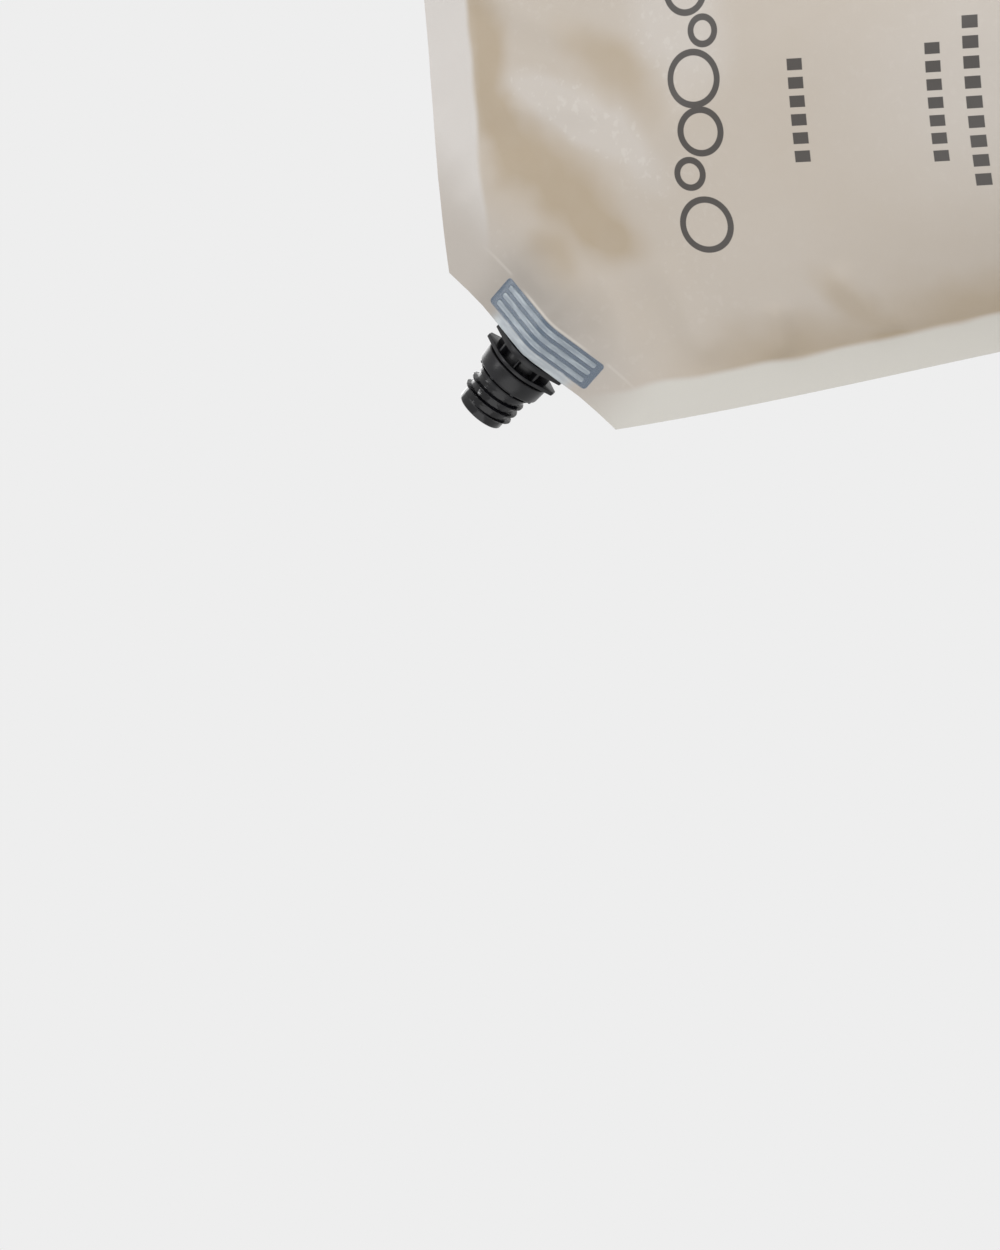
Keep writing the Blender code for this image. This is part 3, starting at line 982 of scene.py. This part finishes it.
# Rise and fall of the painted highlight along the weld boat's inner side.
LIP_HIGHLIGHT_SPANS = ((0.0001, 0.0004), (0.0013, 0.0006))
STREAK_STRETCH = 0.22
CLOUD_DEPTH = 10.0
CLOUD_WARP = (0.022, 0.0, 0.022)
PRINT_EDGE = (0.00012, -0.00012)
PRINT_TURN = -4.0
PRINT_PIVOT = (-0.0100, 0.1900)
RINGS = (
    RingMark(-0.0315, 0.1935, 0.0074),
    RingMark(-0.0165, 0.1968, 0.0040),
    RingMark(-0.0045, 0.1922, 0.0062),
    RingMark(0.0105, 0.1935, 0.0074),
    RingMark(0.0238, 0.1900, 0.0038),
    RingMark(0.0350, 0.1952, 0.0060),
)
LINES = (
    LineMark(0.0, 0.1618, 6, 0.0046, 0.0052),
    LineMark(0.0, 0.1212, 7, 0.0044, 0.0050),
    LineMark(-0.0005, 0.1102, 9, 0.0046, 0.0055),
)

FRONT_CLOUDS = (
    Cloud(0.020, 0.2600, 0.050, 0.011, 0.0, 0.75),
    Cloud(-0.007, 0.2530, 0.022, 0.013, 15.0, 0.45),
    Cloud(-0.020, 0.2360, 0.030, 0.018, 44.0, 0.70),
    Cloud(-0.036, 0.2480, 0.015, 0.011, 30.0, 0.55),
    Cloud(-0.030, 0.2260, 0.018, 0.010, 60.0, 0.35),
    Cloud(0.0175, 0.2180, 0.028, 0.013, 50.0, 0.55),
    Cloud(0.006, 0.2360, 0.032, 0.010, 62.0, -0.52),
    Cloud(0.030, 0.1960, 0.030, 0.020, 10.0, -0.45),
    Cloud(-0.006, 0.2140, 0.024, 0.010, 40.0, -0.30),
    Cloud(-0.0755, 0.1780, 0.048, 0.020, 92.0, 0.62),
    Cloud(-0.0680, 0.1200, 0.050, 0.022, 88.0, 0.62),
    Cloud(-0.0550, 0.1580, 0.016, 0.009, 35.0, 0.42),
    Cloud(-0.0740, 0.1500, 0.010, 0.006, 60.0, 0.35),
    Cloud(0.002, 0.1040, 0.060, 0.050, 90.0, -0.25),
)
BACK_CLOUDS = (
    Cloud(0.020, 0.238, 0.040, 0.016, -20.0, 0.50),
    Cloud(-0.030, 0.215, 0.040, 0.015, 60.0, 0.45),
    Cloud(0.060, 0.150, 0.060, 0.015, 88.0, 0.45),
    Cloud(-0.062, 0.130, 0.060, 0.016, 90.0, 0.40),
    Cloud(0.000, 0.170, 0.050, 0.030, 45.0, -0.40),
    Cloud(0.015, 0.080, 0.060, 0.030, 10.0, -0.30),
)


@dataclass(frozen=True)
class BlackFinish:
    """Black moulded polyethylene with a soft gloss, wet with soap from the screw thread outwards."""

    name: str
    wet_from: float
    colour: Colour = srgb(8, 8, 11)
    worn: Colour = srgb(19, 19, 23)
    roughness: float = 0.30
    uneven: float = 0.20
    wet_roughness: float = 0.11
    wet_edge: Span = (0.0008, -0.0004)
    reflection: float = 0.38

    def build(self, shape: PouchShape) -> Material:
        """Lay out the plastic's nodes.

        Args:
            shape: The pouch, whose cut edge the spout stands on.

        Returns:
            The material.
        """
        kit = Paint(self.name)
        flow = kit.noise(140.0, 3.0)
        wet = kit.ease(kit.from_cut(shape)[1], self.wet_edge, -self.wet_from)
        dry = kit.scaled(kit.noise(420.0, 4.0), self.uneven, self.roughness - self.uneven / 2)
        mixed = kit.add("ShaderNodeMix", data_type="FLOAT")
        drops = kit.times(kit.ease(kit.noise(380.0, 1.0), (0.35, 0.75)), wet)
        film = kit.bump(drops, 0.00008, kit.bump(kit.noise(5200.0), 0.00001))
        return kit.dress({
            "Base Color": kit.blend(kit.ease(flow, (0.35, 0.75)), self.colour, self.worn),
            "Roughness": kit.feed(mixed, {0: wet, 2: dry, 3: self.wet_roughness}),
            "Specular IOR Level": self.reflection,
            "Normal": kit.bump(flow, 0.00003, film),
        })


@dataclass(frozen=True)
class SoapFinish:
    """Thick, pale amber soap with a faint cloudiness."""

    name: str
    clear: Colour = srgb(186, 170, 146)
    cloudy: Colour = srgb(204, 192, 172)
    roughness: float = 0.18

    def build(self) -> Material:
        """Lay out the soap's nodes.

        Returns:
            The material.
        """
        kit = Paint(self.name)
        share = kit.ease(kit.noise(22.0, 3.0), (0.35, 0.7))
        return kit.dress({
            "Base Color": kit.blend(share, self.clear, self.cloudy),
            "Roughness": self.roughness,
            "Normal": kit.bump(kit.noise(60.0), 0.0002),
        })


# Film pieces


@dataclass(frozen=True)
class Crease:
    """Soft fold of a panel between two places, raised outwards."""

    start: Place
    end: Place
    width: float
    height: float


@dataclass
class FilmPanel:
    """One face of the pouch, as a fine sheet with its puckers and its wall."""

    shape: PouchShape
    side: Side
    creases: Sequence[Crease]
    columns: int = 144
    rows: int = 224
    pucker: float = 0.0010
    pucker_run: float = 0.015
    pucker_pitch: float = 0.0085
    pucker_start: float = 0.003
    swell: float = 0.0011
    swell_pitch: float = 0.040
    swell_margin: float = 0.018
    crease_margin: float = 0.004
    cut_margin: float = 0.006
    gusset_margin: float = 0.020
    shift: float = 0.0

    def build(self, finish: Material) -> None:
        """Model the panel.

        Args:
            finish: Its material.
        """
        face = self.side.name.lower()
        piece = new_grid(f"{face}_film", self.columns, self.rows)
        self.lay_flat(piece)
        self.cut_corner(piece)
        self.fill(piece)
        outwards = sum(polygon.normal.y for polygon in piece.data.polygons) * self.side.value
        finish_sheet(piece, self.shape.film, outwards < 0)
        settle(piece, finish, f"{face}_panel")

    def lay_flat(self, piece: Piece) -> None:
        """Lay the sheet out to the filled pouch's outline, and keep its flat places as a UV map.

        Args:
            piece: The flat grid.
        """
        shape = self.shape
        points = read_points(piece)
        flat = points[:, 0] * shape.width
        z = (points[:, 1] + 0.5) * shape.height
        x = widen(flat, shape.pocket_half(z), shape)
        write_flat(piece, flat, z)
        write_points(piece, np.column_stack((x, np.zeros_like(x), z)))

    def cut_corner(self, piece: Piece) -> None:
        """Cut the upper corner off, and put an edge along its seal.

        Args:
            piece: The flat sheet.
        """
        middle, _, into = self.shape.cut_frame()
        only(piece)
        bpy.ops.object.mode_set(mode="EDIT")
        for depth, clear in ((0.0, True), (self.shape.corner_seal, False)):
            bpy.ops.mesh.select_all(action="SELECT")
            start = middle + into * depth
            bpy.ops.mesh.bisect(
                plane_co=(start[0], 0.0, start[1]), plane_no=(into[0], 0.0, into[1]), clear_inner=clear
            )
        bpy.ops.object.mode_set(mode="OBJECT")

    def fill(self, piece: Piece) -> None:
        """Bow the sheet out over the soap, the gusset and the boat, and pucker it.

        Args:
            piece: The flat sheet.
        """
        shape = self.shape
        points = read_points(piece)
        x, z = points[:, 0], points[:, 2]
        depth = shape.panel_inner(x, z) + shape.film + self.relief(x, z)
        write_points(piece, np.column_stack((x, shape.lean(x, z) + self.side.value * depth, z)))

    def relief(self, x: Field, z: Field) -> Field:
        """Height of the puckers, creases and swells over the even shape.

        Args:
            x: Places across the pouch.
            z: Heights.

        Returns:
            The heights outwards, one for each place.
        """
        shape = self.shape
        along, inside = shape.corner_coordinates(x, z)
        from_side = np.maximum(shape.pocket_half(z) - np.abs(x), 0.0)
        from_top = np.maximum(shape.pocket_top - z, 0.0)
        from_cut = np.maximum(inside - shape.corner_seal, 0.0)
        over_gusset = smooth((z - shape.gusset_fold) / self.gusset_margin)
        total = np.zeros_like(x)
        for distance, run in ((from_side, z), (from_top, x), (from_cut, along)):
            waves = self.waves(run, np.sign(x) * 3.0 if run is z else np.full_like(run, 7.0))
            edge = (1 - np.exp(-distance / self.pucker_start)) * np.exp(-distance / self.pucker_run)
            total += self.pucker * edge * waves
        inner = smooth(np.minimum(np.minimum(from_side, from_top), from_cut) / self.swell_margin)
        total += self.swell * inner * self.swells(x, z)
        for crease in self.creases:
            inner = smooth(np.minimum(from_side, from_top) / self.crease_margin)
            total += self.fold(crease, x, z) * inner
        return total * over_gusset * smooth(from_cut / self.cut_margin)

    def waves(self, run: Field, lane: Field) -> Field:
        """Uneven waves along a seal, from 0 to 1.

        Args:
            run: Places along the seal.
            lane: Lane of the pattern for each.

        Returns:
            The heights.
        """
        pitch = self.pucker_pitch
        rows = zip(run / pitch + self.shift, lane)
        return np.array([max(0.0, noise.noise(Vector((a, b, self.shift))) + 0.25) for a, b in rows])

    def swells(self, x: Field, z: Field) -> Field:
        """Broad, uneven swells, from about -0.2 to 1.

        Args:
            x: Places across the pouch.
            z: Heights.

        Returns:
            The heights.
        """
        pitch = self.swell_pitch
        rows = zip(x / pitch + self.shift, z / pitch)
        return np.array([noise.noise(Vector((a, b, 2.5 + self.shift))) + 0.3 for a, b in rows])

    @staticmethod
    def fold(crease: Crease, x: Field, z: Field) -> Field:
        """Height of one crease.

        Args:
            crease: The crease.
            x: Places across the pouch.
            z: Heights.

        Returns:
            The heights.
        """
        start, end = np.array(crease.start), np.array(crease.end)
        length = float(np.linalg.norm(end - start))
        run = (end - start) / length
        across, up = x - start[0], z - start[1]
        share = (across * run[0] + up * run[1]) / length
        off = (up * run[0] - across * run[1]) / crease.width
        return crease.height * np.exp(-off * off) * smooth((share + 0.15) * 4) * smooth((1.15 - share) * 3)


@dataclass
class GussetWeb:
    """Bottom web between the two panels: two skirts and the saddle that they carry."""

    shape: PouchShape
    columns: int = 144
    rows: int = 60
    ridge: float = 0.004

    def build(self, finish: Material) -> None:
        """Model the web from skirt to skirt.

        Args:
            finish: Its material.
        """
        shape = self.shape
        piece = new_grid("gusset_film", self.columns, self.rows)
        points = read_points(piece)
        flat = points[:, 0] * shape.width
        x = widen(flat, np.full_like(flat, shape.foot_half), shape)
        run = points[:, 1] * 2
        share = np.clip(run / 0.5, -1.0, 1.0)
        up = 1 - np.clip((np.abs(run) - 0.5) / 0.5, 0.0, 1.0)
        seal = shape.gusset_seal(x)
        skirt_z = up * seal
        skirt_y = shape.panel_inner(x, skirt_z) - shape.film_gap
        top_y = share * (shape.panel_inner(x, seal) - shape.film_gap)
        on_skirt = np.abs(run) > 0.5
        y = np.where(on_skirt, np.sign(run) * skirt_y, top_y)
        z = np.where(on_skirt, skirt_z, shape.gusset_top(x, share))
        write_points(piece, np.column_stack((x, y, z)))
        write_flat(piece, flat, z)
        faces = piece.data.polygons
        upwards = sum(face.normal.z for face in faces if abs(face.center.y) < self.ridge)
        finish_sheet(piece, shape.film, upwards < 0)
        settle(piece, finish, "bottom_gusset")


# Spout


@dataclass
class SpoutShape:
    """Sizes of the spout, outwards from the edge of the film."""

    segments: int = 288
    crowding: float = 0.38
    round_over: float = 0.00014
    bore: float = 0.0060
    root: float = 0.0072
    lower_flange: float = 0.0017
    lower_radius: float = 0.0098
    lower_length: float = 0.0258
    rib_zone: float = 0.0029
    core: float = 0.0072
    rib_height: float = 0.0025
    rib_width: float = 0.0009
    ribs: int = 8
    rib_inset: float = 0.00030
    upper_flange: float = 0.0012
    upper_radius: float = 0.0102
    upper_length: float = 0.0262
    wing_end: float = 0.0022
    flange_gap: float = 0.0003
    seat: float = 0.0087
    band_height: float = 0.0052
    band_wall: float = 0.0019
    band_gap: float = 0.0003
    band_round: float = 0.0005
    band_flare: float = 0.0003
    stub: float = 0.0004
    stubs: int = 8
    stub_turn: float = 0.35
    stub_depth: float = 0.0009
    stub_length: float = 0.0012
    stub_sunk: float = 0.0003
    stub_round: float = 0.00012
    bead: float = 0.0008
    bead_radius: float = 0.0092
    shoulder: float = 0.0014
    shoulder_radius: float = 0.0083
    neck: float = 0.00765
    thread_radius: float = 0.0090
    pitch: float = 0.0030
    turns: float = 2.8
    thread_foot: float = 0.0013
    thread_flat: float = 0.0003
    thread_steps: int = 26
    thread_run: float = 2.5
    lip: float = 0.0023
    lip_round: float = 0.0004

    def angles(self) -> Field:
        """Directions round the spout, closer together towards the two ends of its wings."""
        even = (np.arange(self.segments) + 0.5) * math.tau / self.segments
        return even - self.crowding * np.sin(2 * even)

    def ring(self, radius: float) -> Field:
        """Round outline."""
        return np.full(self.segments, radius)

    def winged(self, radius: float, length: float, end: float) -> Field:
        """Outline with a round middle and two straight wings that narrow to blunt ends.

        Args:
            radius: Radius of the round middle.
            length: Length over both wings.
            end: Thickness of a wing's end.

        Returns:
            The distance of the outline from the axis in each direction.
        """
        start, height, tangent = wing_tangent(radius, length / 2, end / 2)
        run, rise = length / 2 - start, end / 2 - height
        angles = self.angles()
        turned = np.abs(np.arctan2(np.sin(angles), np.abs(np.cos(angles))))
        wing = (height * run - start * rise) / (run * np.sin(turned) - rise * np.cos(turned))
        tip = length / 2 / np.cos(turned)
        reach = np.where(turned >= tangent, radius, np.minimum(wing, tip))
        return np.where(np.tan(turned) <= end / length, tip, reach)

    def plate(self, low: float, high: float, outline: Field) -> list[Ring]:
        """Rings of a plate with slightly rounded edges.

        Args:
            low: Level of its lower face.
            high: Level of its upper face.
            outline: Its outline.

        Returns:
            The rings in order.
        """
        over = self.round_over
        steps = [(0.0, over), (over * 0.3, over * 0.3), (over, 0.0)]
        lower = [(low + rise, outline - inset) for rise, inset in steps]
        return lower + [(high - rise, outline - inset) for rise, inset in reversed(steps)]

    def boat(self, shape: PouchShape) -> list[Ring]:
        """Rings of the weld boat, with troughs between its ribs.

        Args:
            shape: The pouch.

        Returns:
            The rings in order.
        """
        full = self.winged(shape.boat_radius, shape.boat_length, shape.boat_end)
        away = np.abs(full * np.cos(self.angles()))
        block = shape.boat_length / 2 - shape.boat_block
        keep = smooth((away - block + 0.0006) / 0.0012)
        sunk = full * (keep + (1 - keep) * (1 - shape.boat_trough_depth / shape.boat_radius))
        rings: list[Ring] = []
        level = -shape.boat_depth
        for rib in range(shape.boat_ribs):
            rings += self.plate(level, level + shape.boat_rib, full)
            level += shape.boat_rib
            if rib < shape.boat_ribs - 1:
                rings += [(level + 0.0001, sunk), (level + shape.boat_trough - 0.0001, sunk)]
                level += shape.boat_trough
        return rings

    def ribbed(self, flange: Field) -> Field:
        """Outline through the recesses between the flanges, with upright ribs.

        Args:
            flange: Outline of the flange beside them.

        Returns:
            The outline.
        """
        angles = self.angles()
        spacing = math.tau / self.ribs
        off = np.abs((angles + spacing / 2) % spacing - spacing / 2) * self.core
        share = 1 - smooth((off - self.rib_width / 2 + 0.0001) / 0.0002)
        tall = np.minimum(flange - self.rib_inset, self.core + self.rib_height)
        spread = np.minimum(self.core, flange - self.rib_inset)
        return spread + (tall - spread) * share

    def threaded(self, level: float) -> Field:
        """Outline cut through the screw thread at a level above its start.

        Args:
            level: The level.

        Returns:
            The outline.
        """
        length = self.pitch * self.turns
        ends = smooth(np.array([level, length - level]) / self.pitch * self.thread_run).prod()
        phase = (level / self.pitch - self.angles() / math.tau) % 1.0
        off = np.abs(phase - 0.5) * self.pitch
        slope = (self.thread_foot - self.thread_flat) / 2
        crest = smooth((self.thread_foot / 2 - off) / slope)
        return self.neck + (self.thread_radius - self.neck) * crest * ends

    @property
    def band_foot(self) -> float:
        """Level of the tamper band's lower edge."""
        return self.flange_gap + self.lower_flange + self.rib_zone + self.upper_flange + self.band_gap

    @property
    def thread_start(self) -> float:
        """Level of the thread's start."""
        return self.band_foot + self.band_height + self.band_gap + self.stub + self.bead + self.shoulder

    def rings(self, shape: PouchShape) -> list[Ring]:
        """Every level of the moulding, up its outside and back down the bore.

        Args:
            shape: The pouch.

        Returns:
            The rings in order.
        """
        root, seat, level = self.ring(self.root), self.ring(self.seat), self.flange_gap
        rings = [(-shape.boat_depth, self.ring(self.bore)), *self.boat(shape)]
        rings += [(-shape.boat_top, root), (level, root)]
        lower = self.winged(self.lower_radius, self.lower_length, self.wing_end)
        rings += self.plate(level, level + self.lower_flange, lower)
        level += self.lower_flange
        ribs = self.ribbed(lower)
        rings += [(level, ribs), (level + self.rib_zone, ribs)]
        level += self.rib_zone
        upper = self.winged(self.upper_radius, self.upper_length, self.wing_end)
        rings += self.plate(level, level + self.upper_flange, upper)
        level = self.band_foot + self.band_height + self.band_gap + self.stub
        rings += [(self.band_foot - self.band_gap, seat), (level, seat)]
        for share, rise in BEAD_PROFILE:
            reach = self.seat + (self.bead_radius - self.seat) * rise
            rings.append((level + self.bead * share, self.ring(reach)))
        level += self.bead
        shoulder = self.ring(self.shoulder_radius)
        rings += [(level, shoulder), (self.thread_start, shoulder)]
        length = self.pitch * self.turns
        rises = np.linspace(0.0, length, round(self.turns * self.thread_steps) + 1)
        rings += [(self.thread_start + rise, self.threaded(rise)) for rise in rises]
        return rings + self.mouth(self.thread_start + length + self.lip)

    def mouth(self, level: float) -> list[Ring]:
        """Rings of the rounded lip and of the bore under it.

        Args:
            level: Level of the lip's top.

        Returns:
            The rings in order.
        """
        over = self.lip_round
        outer = self.quarter(level - over, self.neck - over, over, over)
        return outer + self.quarter(level - over, self.bore + over, over, -over)[::-1]

    def quarter(self, level: float, radius: float, up: float, out: float) -> list[Ring]:
        """Rings of a rounded edge, a quarter turn round its middle.

        Args:
            level: Level of its middle.
            radius: Distance of its middle from the axis.
            up: How far it reaches above its middle.
            out: How far it reaches outwards from it.

        Returns:
            The rings, from its outer end to its upper end.
        """
        angles = [math.radians(turn) for turn in QUARTER_TURN]
        return [(level + up * math.sin(angle), self.ring(radius + out * math.cos(angle))) for angle in angles]

    def band(self) -> list[Ring]:
        """Rings of the tamper band, slightly flared towards its lower edge.

        Returns:
            The rings in order.
        """
        inner = self.seat + self.band_gap
        outer = inner + self.band_wall
        over = self.band_round
        foot, rim = self.band_foot, self.band_foot + self.band_height
        lower = self.quarter(foot + over, outer - over, -over, over)[::-1]
        upper = self.quarter(rim - over, outer - self.band_flare - over, over, over)
        return [(foot, self.ring(inner)), *lower, *upper, (rim, self.ring(inner))]


@dataclass
class SpoutPieces:
    """The spout moulding and the tamper band round its neck."""

    shape: PouchShape
    sizes: SpoutShape = field(default_factory=SpoutShape)

    def build(self, finish: Material) -> None:
        """Model both mouldings.

        Args:
            finish: Their material.
        """
        spout = self.rolled("spout_moulding", self.sizes.rings(self.shape))
        settle(spout, finish, "spout")
        band = self.rolled("band_moulding", self.sizes.band())
        self.add_stubs(band)
        settle(band, finish, "tamper_band")

    def stand(self) -> Matrix:
        """Turn and place of the spout: X along the cut edge, Z outwards.

        Returns:
            The turn and place.
        """
        middle, along, into = self.shape.cut_frame()
        first = Vector((along[0], 0.0, along[1]))
        third = Vector((-into[0], 0.0, -into[1]))
        turn = Matrix((first, third.cross(first), third)).transposed()
        return Matrix.Translation((middle[0], 0.0, middle[1])) @ turn.to_4x4()

    def rolled(self, name: str, rings: Sequence[Ring]) -> Piece:
        """Roll a grid into a closed tube through every ring, and join its ends.

        Args:
            name: Name of the piece.
            rings: Levels and outlines, in order.

        Returns:
            The piece, in place.
        """
        count = self.sizes.segments
        piece = new_grid(name, count, len(rings))
        points = read_points(piece)
        column = np.rint((points[:, 0] + 0.5) * count).astype(int) % count
        row = np.rint((points[:, 1] + 0.5) * len(rings)).astype(int) % len(rings)
        angles = self.sizes.angles()[column]
        reach = np.array([outline for _, outline in rings])[row, column]
        level = np.array([height for height, _ in rings])[row]
        write_points(piece, np.column_stack((reach * np.cos(angles), reach * np.sin(angles), level)))
        piece.data.transform(self.stand())
        only(piece)
        bpy.ops.object.mode_set(mode="EDIT")
        bpy.ops.mesh.select_all(action="SELECT")
        bpy.ops.mesh.remove_doubles(threshold=1e-6)
        bpy.ops.mesh.normals_make_consistent(inside=False)
        bpy.ops.object.mode_set(mode="OBJECT")
        shade(piece, MOULDING_ANGLE)
        return piece

    def add_stubs(self, band: Piece) -> None:
        """Add the broken bridges that the screw cap left on the band's rim.

        Args:
            band: The band.
        """
        sizes = self.sizes
        stubs = []
        height = sizes.stub + sizes.stub_sunk
        level = sizes.band_foot + sizes.band_height + sizes.stub - height / 2
        lift = Matrix.Translation((sizes.seat + sizes.band_gap + sizes.band_wall / 2, 0.0, level))
        block = lift @ Matrix.Diagonal((sizes.stub_depth, sizes.stub_length, height, 1.0))
        for index in range(sizes.stubs):
            angle = (index + sizes.stub_turn) * math.tau / sizes.stubs
            bpy.ops.object.select_all(action="DESELECT")
            bpy.ops.mesh.primitive_cube_add(size=1.0)
            stub = bpy.context.object
            stub.data.transform(self.stand() @ Matrix.Rotation(angle, 4, "Z") @ block)
            bevel = stub.modifiers.new("soft", "BEVEL")
            bevel.width = sizes.stub_round
            bevel.segments = 2
            bpy.ops.object.modifier_apply(modifier=bevel.name)
            stubs.append(stub)
        only(band)
        for stub in stubs:
            stub.select_set(True)
        bpy.ops.object.join()
        shade(band, MOULDING_ANGLE)


# Studio


@dataclass
class Studio:
    """Pale floor and background, soft lamps and the camera."""

    shape: PouchShape
    background: Colour = srgb(238, 238, 238)
    floor_fade: Span = (0.22, 0.50)
    floor_front: float = -0.54
    floor_back: float = 1.6
    floor_side: float = 1.4
    world_strength: float = 0.62
    camera_place: tuple[float, float, float] = (0.07175, -1.11308, -0.10040)
    camera_forward: tuple[float, float, float] = (-0.18083, 0.92996, 0.32011)
    camera_up: tuple[float, float, float] = (0.96995, 0.22250, -0.09846)
    lens: float = 113.5
    aim: tuple[float, float, float] = (0.0, 0.0, 0.16)
    lamps: tuple[tuple[str, tuple[float, float, float], float, float], ...] = (
        ("key_lamp", (1.10, -0.95, 0.55), 1.1, 6.8),
        ("fill_lamp", (-0.85, -1.15, 0.45), 1.2, 4.4),
        ("spark_lamp", (0.50, -0.80, 1.10), 0.12, 0.8),
        ("back_lamp", (0.20, 1.10, 0.95), 1.0, 6.0),
    )

    def build(self) -> None:
        """Set the whole studio up."""
        self.make_world()
        self.make_floor()
        for name, place, size, power in self.lamps:
            self.make_lamp(name, Vector(place), size, power)
        self.make_camera()
        bpy.context.scene.view_settings.view_transform = "Standard"

    def make_world(self) -> None:
        """Even soft light, with the pale background where the camera or a reflection sees past it."""
        world = bpy.data.worlds.new("studio_world")
        bpy.context.scene.world = world
        kit = Nodes(world)
        plain = kit.shader
        kit.feed(plain, {"Color": WHITE, "Strength": self.world_strength})
        seen = kit.feed(kit.add("ShaderNodeBackground"), {"Color": self.background})
        paths = kit.add("ShaderNodeLightPath").outputs
        straight = kit.most(paths["Is Camera Ray"], paths["Is Glossy Ray"])
        share = kit.most(straight, paths["Is Transmission Ray"])
        kit.feed(kit.output, {"Surface": kit.mix(share, plain.outputs[0], seen)})

    def make_floor(self) -> None:
        """Pale floor that fades into the background before its edges."""
        bpy.ops.object.select_all(action="DESELECT")
        bpy.ops.mesh.primitive_plane_add(size=1.0)
        floor = bpy.context.object
        floor.name = "studio_floor"
        depth = self.floor_back - self.floor_front
        scale = Matrix.Diagonal((self.floor_side * 2, depth, 1.0, 1.0))
        floor.data.transform(Matrix.Translation((0.0, (self.floor_back + self.floor_front) / 2, 0.0)) @ scale)
        floor.data.materials.append(self.floor_finish())

    def floor_finish(self) -> Material:
        """Matt pale floor that fades into the background, clear from below and under the pouch.

        Returns:
            The material.
        """
        kit = Paint("floor_paint")
        kit.dress({"Base Color": self.background, "Roughness": 0.8, "Specular IOR Level": 0.2})
        glow = kit.feed(kit.add("ShaderNodeEmission"), {"Color": self.background})
        paths = kit.add("ShaderNodeLightPath").outputs
        seen = kit.most(paths["Is Camera Ray"], paths["Is Glossy Ray"])
        share = kit.times(kit.ease(kit.vector("LENGTH", kit.place), self.floor_fade), seen)
        paint = kit.mix(share, kit.shader.outputs[0], glow)
        x, y, _ = kit.split(kit.place)
        share = kit.maths("DIVIDE", x, self.shape.foot_half)
        belly = self.shape.belly_depth
        bow = kit.scaled(kit.times(share, share), -belly, belly)
        covered = kit.ease(kit.less(kit.maths("ABSOLUTE", y), bow), (-0.0005, -0.0015))
        below = kit.add("ShaderNodeNewGeometry").outputs["Backfacing"]
        clear = kit.add("ShaderNodeBsdfTransparent").outputs[0]
        kit.feed(kit.output, {"Surface": kit.mix(kit.most(below, covered), paint, clear)})
        return kit.material

    def make_lamp(self, name: str, place: Vector, size: float, power: float) -> None:
        """Add a soft square lamp that faces the middle of the pouch.

        Args:
            name: Name of the lamp.
            place: Where it hangs.
            size: Length of its side.
            power: Its power in watts.
        """
        data = bpy.data.lights.new(name, "AREA")
        data.shape = "SQUARE"
        data.size = size
        data.energy = power
        lamp = bpy.data.objects.new(name, data)
        bpy.context.scene.collection.objects.link(lamp)
        aim = Vector(self.aim) - place
        lamp.matrix_world = Matrix.Translation(place) @ aim.to_track_quat("-Z", "Y").to_matrix().to_4x4()

    def make_camera(self) -> None:
        """Add the camera at the photograph's angle."""
        data = bpy.data.cameras.new("view_camera")
        data.lens = self.lens
        data.clip_start = 0.01
        camera = bpy.data.objects.new("view_camera", data)
        bpy.context.scene.collection.objects.link(camera)
        back = -Vector(self.camera_forward).normalized()
        up = Vector(self.camera_up).normalized()
        right = up.cross(back).normalized()
        turn = Matrix((right, back.cross(right), back)).transposed()
        camera.matrix_world = Matrix.Translation(self.camera_place) @ turn.to_4x4()
        bpy.context.scene.camera = camera


FRONT_CREASES = (
    Crease((-0.072, 0.148), (-0.050, 0.160), 0.0045, 0.0016),
    Crease((-0.036, 0.236), (0.004, 0.196), 0.0060, 0.0013),
    Crease((-0.070, 0.205), (-0.040, 0.212), 0.0055, 0.0012),
    Crease((0.012, 0.262), (0.006, 0.225), 0.0050, 0.0012),
    Crease((0.045, 0.262), (0.026, 0.232), 0.0050, 0.0011),
    Crease((-0.074, 0.182), (-0.058, 0.180), 0.0040, 0.0010),
    Crease((0.072, 0.190), (0.046, 0.182), 0.0050, 0.0011),
)
BACK_CREASES = (
    Crease((-0.070, 0.200), (-0.038, 0.206), 0.0050, 0.0013),
    Crease((-0.030, 0.238), (0.010, 0.204), 0.0060, 0.0013),
    Crease((0.030, 0.262), (0.020, 0.226), 0.0050, 0.0012),
    Crease((0.070, 0.160), (0.044, 0.168), 0.0045, 0.0012),
)


def main() -> None:
    """Build the pouch piece by piece, then the studio, and report each."""
    logging.basicConfig(level=logging.INFO, format="%(message)s")
    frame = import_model()
    shape = PouchShape()
    front_finish = FilmFinish("front_film_finish", FRONT_CLOUDS, True).build(shape)
    back_finish = FilmFinish("back_film_finish", BACK_CLOUDS, False).build(shape)
    FilmPanel(shape, Side.FRONT, FRONT_CREASES, shift=3.7).build(front_finish)
    FilmPanel(shape, Side.BACK, BACK_CREASES, shift=11.3).build(back_finish)
    GussetWeb(shape).build(back_finish)
    spout = SpoutPieces(shape)
    spout.build(BlackFinish("black_polyethylene", spout.sizes.thread_start).build(shape))
    soap = frame["nodes"]["liquid_soap"]
    soap.data.materials.clear()
    soap.data.materials.append(SoapFinish("amber_soap_body").build())
    LOG.info("liquid_soap: dressed")
    Studio(shape).build()


if __name__ == "__main__":
    main()
